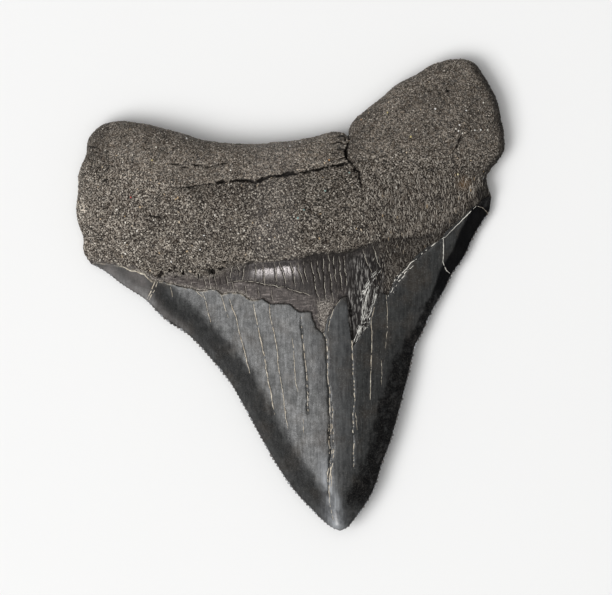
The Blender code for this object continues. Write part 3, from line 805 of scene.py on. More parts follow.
@dataclass
class ToothForm:
    """The tooth's two faces as heights over the plan, in the same form as the CAD solid."""

    rise: float = 1.0114
    root_rim: float = 3.5 * MM
    upper_edge: float = 2.3 * MM
    lower_edge: float = 4.4 * MM
    left_bevel: Bevel = Bevel(((0.0, 0.88), (4.6 * MM, 0.36)))
    left_shoulder: Bevel = Bevel(((0.0, 0.33), (2.2 * MM, 1.2), (5.2 * MM, 0.36)))
    right_bevel: Bevel = Bevel(((0.0, 1.15), (2.7 * MM, 0.46)))
    crest_round: float = 0.11
    rest_centre: tuple[float, float] = (284, 250)
    rest_spot: tuple[float, float] = (15.0 * MM, 8.5 * MM)
    enamel_step: float = 0.45 * MM
    shelf_depth: float = 1.35 * MM
    labial_step: float = 0.25 * MM
    lump_depth: float = 0.30 * MM
    lump_size: float = 7.0 * MM
    tip_lift: float = 1.5 * MM
    lower_crown: Patch = Patch(top=(230, 200))
    tip_half: Patch = Patch(top=(300, 240))
    past_shoulder: Patch = Patch(left=(170, 45))
    shelf_middle: Patch = Patch(left=(205, 35), right=(372, 35))
    plate: HeightSpline = field(default_factory=lambda: HeightSpline(SPOTS))

    def rim(self, survey: Survey) -> Array:
        """Raises the outline along the cutting edges, where the crown bends up.

        Args:
            survey: The points' distances.

        Returns:
            The outline's height beside each point.
        """
        root = ramp(0.5 + survey.foot / (7 * MM))
        edge = self.upper_edge + (self.lower_edge - self.upper_edge) * survey.share(self.lower_crown)
        return edge + (self.root_rim - edge) * root

    @staticmethod
    def rounded(inset: Array, width: float, power: float = 2.3) -> Array:
        """The share of full height at some way in from a rounded rim."""
        return (1 - (1 - np.clip(inset / width, 0, 1)) ** power) ** (1 / power)

    def upper(self, survey: Survey) -> Array:
        """Shapes the lingual face as one smooth surface, before cracks, steps and grain.

        Args:
            survey: The points' distances.

        Returns:
            The face's height over each point.
        """
        rim = self.rim(survey)
        below_foot = np.maximum(0, 0.6 * MM - survey.foot)
        above_margin = np.maximum(0, 0.6 * MM - survey.enamel)
        crown_part = ramp(below_foot / (below_foot + above_margin + 1e-9))
        left = self.left_bevel.rise(survey.left)
        shoulder = 1 - survey.share(self.past_shoulder)
        left = left + shoulder * (self.left_shoulder.rise(survey.left) - left)
        right = self.right_bevel.rise(survey.right)
        crest = self.crest_round * (left + right) + 0.02 * MM
        crown = rim - crest * np.logaddexp(-left / crest, -right / crest)
        root = rim + (self.plate.heights(survey.points) - rim) * self.rounded(survey.inset, 3.3 * MM)
        relief = self.lump_depth * survey.lumps(self.lump_size, 3.7)
        relief += 0.5 * self.lump_depth * survey.lumps(self.lump_size / 2.2, 9.1)
        root = root + relief * survey.away
        return self.rise * (crown_part * crown + (1 - crown_part) * root)

    def shelf(self, survey: Survey) -> Array:
        """Lays the bourlette back under the root's foot, most in its middle.

        Args:
            survey: The points' distances.

        Returns:
            How far each point lies back.
        """
        below = -survey.foot
        back = ramp(below / (0.6 * MM)) * (1 - np.clip((below - 0.6 * MM) / (4.4 * MM), 0, 1))
        return self.shelf_depth * survey.share(self.shelf_middle) * back

    def reach(self, points: Array) -> Array:
        """How far out each point is from the middle of the rest spot: 1 at the spot's edge."""
        return np.linalg.norm((points - VIEW.plan([self.rest_centre])) / self.rest_spot, axis=1)

    def under(self, survey: Survey) -> Array:
        """Shapes the labial face, nearly flat, without the step at the enamel's margin.

        Args:
            survey: The points' distances.

        Returns:
            The face's height over each point.
        """
        rim = self.rim(survey)
        reach = self.reach(survey.points)
        bow = 0.35 * MM * ramp((reach - 1) / 0.5) + 0.55 * MM * np.clip((reach - 1) / 3, 0, 1) ** 1.5
        bow = bow * (1 + 0.35 * survey.lumps(self.lump_size, 21.3))
        level = np.minimum(bow + self.tip_lift * survey.share(self.tip_half), rim)
        root_part = ramp(0.5 + survey.labial / (8 * MM))
        shape = root_part * self.rounded(survey.inset, 3.0 * MM)
        shape += (1 - root_part) * self.rounded(survey.inset, 9.0 * MM, 1.6)
        return self.rise * (rim - (rim - level) * shape)

    def off_rest(self, survey: Survey) -> Array:
        """0 on the rest spot, 1 well outside it."""
        return ramp((self.reach(survey.points) - 1) / 0.6)


FORM = ToothForm()


def lattice(low: Array, high: Array, gap: float) -> Array:
    """Lays an even triangular net over a box.

    Args:
        low: The box's lower left corner.
        high: Its upper right corner.
        gap: The distance between neighbouring points.

    Returns:
        The net's plan points.
    """
    columns = np.arange(low[0], high[0], gap)
    rows = np.arange(low[1], high[1], gap * math.sqrt(0.75))
    shift = (np.arange(len(rows)) % 2) * gap / 2
    x = columns[None] + shift[:, None]
    y = np.broadcast_to(rows[:, None], x.shape)
    return np.stack([x.ravel(), y.ravel()], axis=1)


@dataclass
class PointBed:
    """Collects plan points inside a ring, each kept only if clear of those before it."""

    ring: Array
    kept: list[Array] = field(default_factory=list)

    def add(self, points: Array, clearance: float, from_ring: float = 0.06 * MM) -> None:
        """Adds the points that lie inside the ring and clear of the earlier ones.

        Args:
            points: Plan points, wanted in this order.
            clearance: The least distance to the points of earlier calls.
            from_ring: The least distance to the ring.
        """
        points = points[inside(points, self.ring)]
        closed = Line(np.vstack([self.ring, self.ring[:1]]))
        points = points[closed.distance(points) > from_ring]
        earlier = np.vstack(self.kept) if self.kept else np.zeros((0, 2))
        tree = kdtree.KDTree(len(earlier))
        for index, point in enumerate(earlier):
            tree.insert((point[0], point[1], 0), index)
        tree.balance()
        gaps = [tree.find((point[0], point[1], 0))[2] for point in points]
        clear = [gap is None or gap > clearance for gap in gaps]
        self.kept.append(points[np.array(clear, bool)])

    def points(self) -> Array:
        """All the points kept so far."""
        return np.vstack(self.kept)


@dataclass
class Sheet:
    """One face of a body: its inner plan points and the heights of its ring and of those points."""

    inner: Array
    ring_heights: Array
    inner_heights: Array


class TwoFacedBody:
    """A closed body between an upper and an under sheet that share one ring in plan."""

    UPPER_SHARE = 0.66

    def __init__(self, name: str, ring: Array, upper: Sheet, under: Sheet) -> None:
        """Closes the body.

        Args:
            name: The mesh's name.
            ring: The plan points that both sheets share.
            upper: The upper sheet.
            under: The under sheet.
        """
        count = len(ring)
        level = np.abs(upper.ring_heights - under.ring_heights) < 1e-7
        under_ids = np.where(level, np.arange(count), count + len(upper.inner) + np.arange(count))
        inner_start = 2 * count + len(upper.inner)
        rows = (
            np.column_stack([ring, upper.ring_heights]),
            np.column_stack([upper.inner, upper.inner_heights]),
            np.column_stack([ring, under.ring_heights]),
            np.column_stack([under.inner, under.inner_heights]),
        )
        self.name = name
        self.places = np.vstack(rows)
        top = self.triangles(ring, upper.inner)
        top_ids = np.arange(count + len(upper.inner))
        bottom_ids = np.concatenate([under_ids, inner_start + np.arange(len(under.inner))])
        bottom = self.triangles(ring, under.inner)
        wall = []
        for i in range(count):
            j = (i + 1) % count
            low_i, low_j = under_ids[i], under_ids[j]
            if low_j != j:
                wall.append((i, low_j, j))
            if low_i != i:
                wall.append((i, low_i, low_j))
        self.faces = np.vstack([top_ids[top], bottom_ids[bottom[:, ::-1]], np.array(wall or [(0, 0, 0)])])
        if not wall:
            self.faces = self.faces[:-1]
        self.upper_faces, self.under_faces = len(top), len(bottom)
        used = np.zeros(len(self.places), bool)
        used[self.faces.ravel()] = True
        self.places, self.faces = self.places[used], (np.cumsum(used) - 1)[self.faces]

    @staticmethod
    def triangles(ring: Array, inner: Array) -> Array:
        """Fills the plan with triangles that keep the ring's edges.

        Args:
            ring: The ring's plan points.
            inner: The plan points inside it.

        Returns:
            Three indices into the ring then the inner points for each triangle.
        """
        points = [Vector(point) for point in np.vstack([ring, inner])]
        edges = [(i, (i + 1) % len(ring)) for i in range(len(ring))]
        made = delaunay_2d_cdt(points, edges, [], 1, 1e-10)
        source = np.array([origins[0] for origins in made[3]])
        return source[np.array(made[2])]

    def mesh(self) -> bpy.types.Mesh:
        """Makes the mesh, with both sheets laid out side by side on a map for baking.

        Returns:
            The smooth mesh.
        """
        mesh = bpy.data.meshes.new(self.name)
        mesh.from_pydata(self.places.tolist(), [], self.faces.tolist())
        plan = self.places[:, :2]
        unit = (plan - plan.min(0)) / np.ptp(plan, axis=0)
        corners = unit[self.faces.ravel()]
        sheet = np.repeat(np.arange(len(self.faces)), 3)
        is_upper = (sheet < self.upper_faces)[:, None]
        share = self.UPPER_SHARE
        placed = np.where(is_upper, corners * (0.99, share - 0.01), corners * (0.99, 0.98 - share))
        placed = np.where(is_upper, placed + 0.005, placed + (0.005, share + 0.01))
        layer = mesh.uv_layers.new(name="OFBake", do_init=False)
        layer.uv.foreach_set("vector", placed.astype(np.float32).ravel())
        mesh.shade_smooth()
        return mesh


def vertex_normals(mesh: bpy.types.Mesh) -> Array:
    """Reads a mesh's smooth normals.

    Args:
        mesh: The mesh.

    Returns:
        A unit normal for each vertex.
    """
    found = np.empty(3 * len(mesh.vertices), np.float32)
    mesh.vertex_normals.foreach_get("vector", found)
    return found.reshape(-1, 3).astype(float)


def read_places(mesh: bpy.types.Mesh) -> Array:
    """Reads where a mesh's vertices are.

    Args:
        mesh: The mesh.

    Returns:
        A place for each vertex.
    """
    found = np.empty(3 * len(mesh.vertices), np.float32)
    mesh.vertices.foreach_get("co", found)
    return found.reshape(-1, 3).astype(float)


def settle(mesh: bpy.types.Mesh, places: Array, bounds: Bounds) -> None:
    """Moves the mesh's vertices to their places, held inside the bounds."""
    mesh.vertices.foreach_set("co", np.clip(places, *np.array(bounds)).astype(np.float32).ravel())
    mesh.update()


def write_attribute(mesh: bpy.types.Mesh, name: str, values: Array) -> None:
    """Stores a number for each vertex, for a material to read."""
    layer = mesh.attributes.new(name, "FLOAT", "POINT")
    layer.data.foreach_set("value", np.asarray(values, np.float32))


class NodeMaker:
    """Adds and joins the nodes of a tree."""

    def __init__(self, tree: bpy.types.NodeTree) -> None:
        """Takes the tree to add to."""
        self.tree = tree

    def feed(self, socket: Socket, value: Value) -> None:
        """Links a socket to an input, or sets the input's value.

        Args:
            socket: The input.
            value: What it gets.
        """
        if isinstance(value, bpy.types.NodeSocket):
            self.tree.links.new(value, socket)
        elif isinstance(value, tuple) and len(value) == 3 and socket.type == "RGBA":
            socket.default_value = (*value, 1.0)
        else:
            socket.default_value = value

    def node(self, kind: str, inputs: Inputs | None = None, **settings: object) -> bpy.types.Node:
        """Adds a node.

        Args:
            kind: The node's type.
            inputs: Values or sockets by input name or number.
            settings: The node's own properties.

        Returns:
            The new node.
        """
        node = self.tree.nodes.new(kind)
        for key, value in settings.items():
            setattr(node, key, value)
        for key, value in (inputs or {}).items():
            self.feed(node.inputs[key], value)
        return node

    def out(self, kind: str, inputs: Inputs | None = None, **settings: object) -> Socket:
        """Adds a node and returns its first output."""
        return self.node(kind, inputs, **settings).outputs[0]

    def math(self, way: str, *values: Value, clamp: bool = False) -> Socket:
        """Works out a sum of values or sockets."""
        return self.out("ShaderNodeMath", dict(enumerate(values)), operation=way, use_clamp=clamp)

    def times(self, first: Value, second: Value) -> Socket:
        """The product of two values."""
        return self.math("MULTIPLY", first, second)

    def plus(self, first: Value, second: Value, clamp: bool = False) -> Socket:
        """The sum of two values."""
        return self.math("ADD", first, second, clamp=clamp)

    def minus(self, first: Value, second: Value, clamp: bool = False) -> Socket:
        """The difference of two values."""
        return self.math("SUBTRACT", first, second, clamp=clamp)


class ShaderTree(NodeMaker):
    """A material's node tree, with short ways to add patterns and colours."""

    def __init__(self, name: str) -> None:
        """Starts a material.

        Args:
            name: The material's name.
        """
        self.material = bpy.data.materials.new(name)
        self.material.use_nodes = True
        super().__init__(self.material.node_tree)
        self.surface = self.tree.nodes["Principled BSDF"]
        self.place = self.node("ShaderNodeTexCoord").outputs["Object"]

    def set(self, **inputs: Value | tuple[float, ...]) -> None:
        """Sets the shader's own inputs, with _ for a space in a name."""
        for key, value in inputs.items():
            self.feed(self.surface.inputs[key.replace("_", " ")], value)

    def stretched(self, scale: Colour, turn: float = 0.0) -> Socket:
        """Object coordinates scaled by axis and turned about Z."""
        inputs = {"Vector": self.place, "Scale": scale, "Rotation": (0.0, 0.0, turn)}
        return self.out("ShaderNodeMapping", inputs)

    def waves(self, size: float, detail: float = 2.0, rough: float = 0.5,
              place: Socket | None = None) -> Socket:
        """Cloudy noise from 0 to 1, with features of the given size."""
        inputs = {"Vector": place or self.place, "Scale": 1 / size, "Detail": detail, "Roughness": rough}
        return self.node("ShaderNodeTexNoise", inputs).outputs["Fac"]

    def attribute(self, name: str) -> Socket:
        """A number stored on the mesh."""
        return self.node("ShaderNodeAttribute", attribute_name=name).outputs["Fac"]

    def span(self, value: Value, low: float, high: float, start: float = 0.0, end: float = 1.0) -> Socket:
        """Maps a value from one span to another, and holds it at the ends."""
        inputs = {"Value": value, "From Min": low, "From Max": high, "To Min": start, "To Max": end}
        return self.out("ShaderNodeMapRange", inputs)

    def ramp(self, value: Value, *stops: tuple[float, Colour]) -> Socket:
        """Turns a value into a colour.

        Args:
            value: The value, from 0 to 1.
            stops: Values with the colours to pass through there, in rising order.

        Returns:
            The colour.
        """
        node = self.node("ShaderNodeValToRGB", {"Fac": value})
        elements = node.color_ramp.elements
        while len(elements) < len(stops):
            elements.new(0.5)
        for element, (place, colour) in zip(elements, stops):
            element.position = place
            element.color = (*colour, 1.0)
        return node.outputs["Color"]

    def mix(self, share: Value, first: Value, second: Value, blend: str = "MIX") -> Socket:
        """Mixes two colours."""
        inputs = {0: share, 6: first, 7: second}
        return self.node("ShaderNodeMix", inputs, data_type="RGBA", blend_type=blend).outputs[2]

    def bump(self, height: Value, distance: float, strength: Value = 1.0,
             normal: Socket | None = None) -> Socket:
        """A bumpy normal from a height, on top of an earlier one where it is given."""
        inputs = {"Height": height, "Distance": distance, "Strength": strength}
        return self.out("ShaderNodeBump", inputs if normal is None else inputs | {"Normal": normal})


@dataclass(frozen=True)
class FossilBone:
    """The root's granular bone, and the dark, glossy, wrinkled bourlette below it."""

    gap: Colour = (0.010, 0.0085, 0.007)
    bone: Colour = (0.175, 0.153, 0.129)
    pale: Colour = (0.66, 0.59, 0.50)
    brown: Colour = (0.125, 0.090, 0.062)
    cool: Colour = (0.095, 0.098, 0.098)
    glossy: Colour = (0.011, 0.0095, 0.009)
    dull: Colour = (0.078, 0.067, 0.061)
    band: Colour = (0.088, 0.075, 0.069)
    stain: Colour = (0.24, 0.15, 0.08)
    spall: Colour = (0.31, 0.295, 0.275)

    def bone_colour(self, tree: ShaderTree) -> tuple[Socket, Socket]:
        """Mixes the granular bone's colour.

        Args:
            tree: The material's tree.

        Returns:
            The colour, and the fine specks that also roughen the surface.
        """
        grain, fine = tree.attribute("grain"), tree.attribute("fine")
        speck = tree.waves(0.23 * MM, 2.0, 0.6)
        level = tree.plus(tree.times(grain, 0.45), tree.span(speck, 0.34, 0.66, -0.10, 0.65))
        coarse = tree.ramp(level, (0.26, self.gap), (0.44, (0.060, 0.052, 0.044)), (0.56, self.bone),
                           (0.80, self.pale))
        smooth = tree.ramp(level, (0.16, (0.012, 0.0105, 0.009)), (0.38, (0.056, 0.049, 0.042)),
                           (0.60, (0.130, 0.113, 0.095)), (0.95, (0.37, 0.33, 0.28)))
        colour = tree.mix(fine, coarse, smooth)
        tint = tree.waves(0.7 * MM, 3.0, 0.7)
        brown = tree.times(tree.span(tint, 0.50, 0.66), 0.55)
        colour = tree.mix(brown, colour, tree.mix(0.6, colour, self.brown))
        colour = tree.mix(tree.span(tint, 0.46, 0.34, 0.0, 0.30), colour, self.cool)
        patches = tree.waves(4.5 * MM, 2.0, 0.5)
        colour = tree.mix(tree.span(patches, 0.36, 0.60, 0.32, 0.0), colour, self.gap)
        between = tree.times(tree.attribute("grains"), tree.span(fine, 0.0, 1.0, 0.48, 0.12))
        colour = tree.mix(between, colour, self.gap)
        # Painted light lifts the shade on the sunken slab; the upper left and the lobe are painted a little
        # paler
        return tree.mix(tree.attribute("painted_light_and_paler"), colour, (1.7, 1.7, 1.7), "MULTIPLY"), speck

    def material(self) -> bpy.types.Material:
        """Builds the root's material.

        Returns:
            The material.
        """
        tree = ShaderTree("fossil_bone")
        polish, band, crumb = (tree.attribute(name) for name in ("polish", "band", "crumb"))
        bone, speck = self.bone_colour(tree)
        streaks = tree.waves(0.26 * MM, 3.0, 0.62, tree.stretched((1.0, 0.16, 0.3), 0.12))
        mottle = tree.waves(1.1 * MM, 3.0, 0.6)
        worn = tree.minus(1.0, tree.attribute("gloss"), clamp=True)
        gloss = tree.mix(tree.span(streaks, 0.46, 0.72), self.glossy, self.dull)
        gloss = tree.mix(tree.span(mottle, 0.5, 0.72, 0.0, 0.6), gloss, self.dull)
        matt = tree.mix(tree.span(streaks, 0.38, 0.62), (0.030, 0.025, 0.023), self.band)
        layers = tree.waves(0.34 * MM, 3.0, 0.65, tree.stretched((0.22, 1.0, 0.4), -0.2))
        matt = tree.mix(tree.span(layers, 0.50, 0.64, 0.0, 0.75), matt, (0.016, 0.013, 0.012))
        matt = tree.mix(tree.span(layers, 0.43, 0.34, 0.0, 0.75), matt, (0.24, 0.21, 0.195))
        crumbs = tree.times(tree.span(speck, 0.54, 0.72), tree.span(mottle, 0.40, 0.62, 0.15, 0.85))
        gloss = tree.mix(tree.times(crumbs, worn), gloss, (0.22, 0.20, 0.175))
        matt = tree.mix(tree.times(crumbs, 0.55), matt, (0.34, 0.31, 0.275))
        plain = tree.mix(band, gloss, matt)
        colour = tree.mix(polish, bone, plain)
        torn = tree.mix(tree.span(streaks, 0.50, 0.68), (0.007, 0.0065, 0.006), self.spall)
        colour = tree.mix(tree.attribute("spall"), colour, torn)
        crumbly = tree.ramp(speck, (0.38, self.gap), (0.5, self.bone), (0.66, (0.5, 0.46, 0.41)))
        colour = tree.mix(crumb, colour, crumbly)
        colour = tree.mix(tree.times(tree.attribute("stain"), tree.span(speck, 0.3, 0.7, 0.25, 0.75)),
                          colour, self.stain)
        # Painted shade on the right flank, the right corner and under the foot, and darker patches elsewhere
        colour = tree.mix(tree.attribute("shade_and_darker"), colour, self.gap)
        # Painted shade and dark dirt in the root's cracks and pits, darker where they are deeper
        colour = tree.mix(tree.attribute("crevice_dirt_and_shade"), colour, (0.007, 0.006, 0.005))
        shine = tree.span(streaks, 0.3, 0.7, 0.09, 0.22)
        shine = tree.plus(shine, tree.times(worn, 0.40))
        rough = tree.mix(polish, tree.span(speck, 0.3, 0.7, 0.85, 0.55), shine)
        rough = tree.math("MAXIMUM", rough, tree.times(tree.attribute("spall"), 0.6))
        grit = tree.times(speck, tree.minus(1.0, tree.times(polish, 0.85)))
        normal = tree.bump(grit, 0.16 * MM, 1.0)
        normal = tree.bump(tree.times(streaks, polish), 0.12 * MM, 1.0, normal)
        sheen = tree.span(worn, 0.0, 1.0, 1.35, 0.25)
        sheen = tree.times(sheen, tree.span(polish, 0.0, 1.0, 0.30, 1.0))
        # The plain level is what the export keeps, and the linked one is what is seen here
        tree.set(Specular_IOR_Level=0.3)
        tree.set(Base_Color=colour, Roughness=rough, Normal=normal, Metallic=0.0, IOR=1.60,
                 Specular_IOR_Level=sheen, Specular_Tint=(1.0, 0.93, 0.92, 1.0))
        return tree.material


@dataclass(frozen=True)
class Enamel:
    """Black fossil enamel: a soft gloss with fine growth streaks, worn paler at the edges, dull and painted
    in shade along the cutting edges, and painted with a sheen and a highlight near the tip.
    """

    black: Colour = (0.010, 0.0105, 0.0105)
    grey: Colour = (0.028, 0.029, 0.028)
    brown: Colour = (0.030, 0.024, 0.018)
    fleck: Colour = (0.095, 0.092, 0.086)
    worn: Colour = (0.120, 0.108, 0.102)
    # Colours painted in: a sheen near the tip, and a highlight along the tip's crest
    painted_sheen_and_silver: Colour = (0.40, 0.415, 0.435)
    painted_highlight: Colour = (0.74, 0.74, 0.75)
    # Near-black painted as shade along the cutting edges, and the dust specked on it
    soot: Colour = (0.0025, 0.0025, 0.003)
    dust: Colour = (0.060, 0.056, 0.051)

    def surface(self, tree: ShaderTree, streaks: Socket, fleck: Socket) -> Socket:
        """Mixes the polished enamel's colour from its streaks and flecks, with its painted sheen and painted
        highlight.

        Args:
            tree: The material's tree.
            streaks: The growth streaks, from 0 to 1.
            fleck: The fine flecks, from 0 to 1.

        Returns:
            The colour.
        """
        clouds = tree.waves(5 * MM, 4.0, 0.6)
        colour = tree.mix(tree.span(streaks, 0.38, 0.66), self.black, self.grey)
        colour = tree.mix(tree.span(clouds, 0.48, 0.66, 0.0, 0.75), colour, self.brown)
        spots = tree.times(tree.span(fleck, 0.56, 0.72), tree.span(clouds, 0.40, 0.60, 0.45, 1.0))
        colour = tree.mix(spots, colour, self.fleck)
        worn = tree.mix(tree.span(fleck, 0.35, 0.65), (0.085, 0.076, 0.072), self.worn)
        colour = tree.mix(tree.times(tree.attribute("pale"), tree.span(clouds, 0.3, 0.6, 0.7, 1.0)),
                          colour, worn)
        # Painted sheen near the tip and on the middle facet, then a painted highlight along the crest
        sheen = tree.times(tree.attribute("painted_sheen_and_silver"), tree.span(streaks, 0.36, 0.64, 0.45, 1.0))
        return tree.mix(tree.attribute("painted_highlight"), tree.mix(sheen, colour, self.painted_sheen_and_silver), self.painted_highlight)

    def material(self) -> bpy.types.Material:
        """Builds the enamel's material.

        Returns:
            The material.
        """
        tree = ShaderTree("fossil_enamel")
        streaks = tree.waves(0.45 * MM, 4.0, 0.62, tree.stretched((1.0, 0.09, 0.3), 0.06))
        fleck = tree.waves(0.24 * MM, 2.0, 0.6)
        grit = tree.waves(0.22 * MM, 3.0, 0.7)
        pale, dull = tree.attribute("pale"), tree.attribute("dull")
        colour = self.surface(tree, streaks, fleck)
        blotch = tree.waves(1.6 * MM, 4.0, 0.75)
        # The bands along the cutting edges are painted near-black as shade, with specks of dust
        sooty = tree.mix(tree.span(grit, 0.52, 0.72), self.soot, self.dust)
        patchy = tree.math("MAXIMUM", tree.span(blotch, 0.34, 0.52, 0.62, 1.0), tree.attribute("clean"))
        sooty = tree.mix(tree.attribute("clean"), sooty, self.soot)
        dull = tree.times(dull, patchy)
        colour = tree.mix(tree.times(dull, 0.95), colour, sooty)
        colour = tree.mix(tree.attribute("chalk"), colour, tree.ramp(
            grit, (0.36, (0.12, 0.10, 0.08)), (0.52, (0.34, 0.30, 0.235)), (0.66, (0.58, 0.54, 0.46))))
        # Painted shade and dark dirt in the veins' grooves and in the gap along the enamel's margin
        colour = tree.mix(tree.attribute("crevice_dirt_and_shade"), colour, (0.003, 0.003, 0.003))
        rough = tree.plus(tree.span(streaks, 0.3, 0.7, 0.33, 0.43), tree.times(pale, 0.12))
        rough = tree.plus(rough, tree.span(fleck, 0.4, 0.7, 0.0, 0.14))
        rough = tree.plus(rough, tree.times(dull, 0.35), clamp=True)
        mottle = tree.span(tree.waves(1.3 * MM, 4.0, 0.7), 0.36, 0.64, 0.64, 1.20)
        lines = tree.waves(0.42 * MM, 3.0, 0.6, tree.stretched((1.0, 0.12, 0.3), 0.06))
        lines = tree.span(lines, 0.38, 0.62, 0.72, 1.14)
        gloss = tree.times(tree.times(mottle, lines), tree.span(dull, 0.0, 1.0, 0.5, 0.04))
        normal = tree.bump(streaks, 0.030 * MM, 0.9)
        normal = tree.bump(fleck, 0.034 * MM, 0.9, normal)
        normal = tree.bump(tree.times(grit, dull), 0.12 * MM, 1.0, normal)
        # The plain level is what the export keeps, and the linked one is what is seen here
        tree.set(Specular_IOR_Level=0.4)
        tree.set(Base_Color=colour, Roughness=rough, Normal=normal, Metallic=0.0, IOR=1.62,
                 Specular_IOR_Level=gloss)
        return tree.material


@dataclass(frozen=True)
class MineralFill:
    """Cream and tan mineral that fills the enamel's cracks."""

    cream: Colour = (0.66, 0.605, 0.505)
    tan: Colour = (0.36, 0.30, 0.225)
    white: Colour = (0.84, 0.83, 0.78)

    def material(self) -> bpy.types.Material:
        """Builds the veins' material.

        Returns:
            The material.
        """
        tree = ShaderTree("mineral_fill")
        cloud = tree.waves(0.9 * MM, 4.0, 0.7)
        fine = tree.waves(0.12 * MM, 2.0, 0.6)
        colour = tree.mix(tree.span(cloud, 0.38, 0.62), self.tan, self.cream)
        colour = tree.mix(tree.attribute("whitened"), colour, self.white)
        normal = tree.bump(fine, 0.03 * MM, 0.8)
        tree.set(Base_Color=colour, Roughness=0.8, Normal=normal, Metallic=0.0)
        return tree.material


@dataclass(frozen=True)
class BoneGrain:
    """The root's grains: mostly drab brown and grey, some pale and a few yellow."""

    dark: Colour = (0.028, 0.024, 0.020)
    drab: Colour = (0.165, 0.141, 0.117)
    grey: Colour = (0.310, 0.280, 0.246)
    pale: Colour = (0.50, 0.455, 0.395)
    white: Colour = (0.70, 0.67, 0.61)
    ochre: Colour = (0.40, 0.27, 0.13)

    def material(self) -> bpy.types.Material:
        """Builds the grains' material.

        Returns:
            The material.
        """
        tree = ShaderTree("bone_grain")
        tint, fine = tree.attribute("tint"), tree.attribute("fine")
        strong = tree.ramp(tint, (0.10, self.dark), (0.36, self.drab), (0.62, self.grey), (0.90, self.pale),
                           (0.975, self.pale), (0.985, self.ochre), (0.996, self.white))
        weak = tree.ramp(tint, (0.0, self.dark), (0.22, (0.07, 0.060, 0.050)), (0.45, self.drab),
                         (0.92, self.grey), (0.985, self.pale), (0.99, self.ochre), (0.996, self.white))
        colour = tree.mix(fine, strong, weak)
        colour = tree.mix(tree.span(tree.attribute("long"), 0.0, 1.0, 0.0, 0.20), colour, self.dark)
        warm = tree.waves(2.4 * MM, 3.0, 0.7)
        colour = tree.mix(tree.span(warm, 0.44, 0.66, 0.0, 0.45), colour, (0.135, 0.100, 0.070))
        # Painted light on the grains of the sunken slab, and a little paler at the upper left and on the lobe
        colour = tree.mix(tree.attribute("painted_light_and_paler"), colour, (1.5, 1.5, 1.5), "MULTIPLY")
        # Painted shade on the grains of the right flank and corner, and darker grains elsewhere
        colour = tree.mix(tree.attribute("shade_and_darker"), colour, (0.018, 0.016, 0.014))
        tree.set(Base_Color=colour, Roughness=0.62, Metallic=0.0, IOR=1.5, Specular_IOR_Level=0.25)
        return tree.material


@dataclass(frozen=True)
class QuartzGrain:
    """Clear and tinted crystals, from white through yellow and orange to blue-green and red."""

    white: Colour = (0.86, 0.85, 0.83)
    yellow: Colour = (0.60, 0.50, 0.20)
    orange: Colour = (0.50, 0.24, 0.08)
    green: Colour = (0.20, 0.42, 0.42)
    red: Colour = (0.50, 0.04, 0.04)

    def material(self) -> bpy.types.Material:
        """Builds the crystals' material.

        Returns:
            The material.
        """
        tree = ShaderTree("quartz_grain")
        tone = tree.attribute("tone")
        colour = tree.ramp(tone, (0.05, self.white), (0.25, self.yellow), (0.5, self.orange),
                           (0.75, self.green), (0.95, self.red))
        colour = tree.mix(tree.span(tree.waves(0.1 * MM), 0.3, 0.7, 0.0, 0.3), colour, (0.3, 0.28, 0.25))
        tree.set(Base_Color=colour, Roughness=0.3, Metallic=0.0, IOR=1.55)
        return tree.material


@dataclass(frozen=True)
class PaleFloor:
    """The plain, matt, nearly white surface under the tooth."""

    white: Colour = (0.845, 0.845, 0.84)

    def material(self) -> bpy.types.Material:
        """Builds the floor's material.

        Returns:
            The material.
        """
        tree = ShaderTree("pale_floor")
        cloud = tree.waves(0.05, 2.0, 0.5)
        colour = tree.mix(cloud, self.white, tuple(0.985 * part for part in self.white))
        tree.set(Base_Color=colour, Roughness=0.9, Metallic=0.0)
        return tree.material


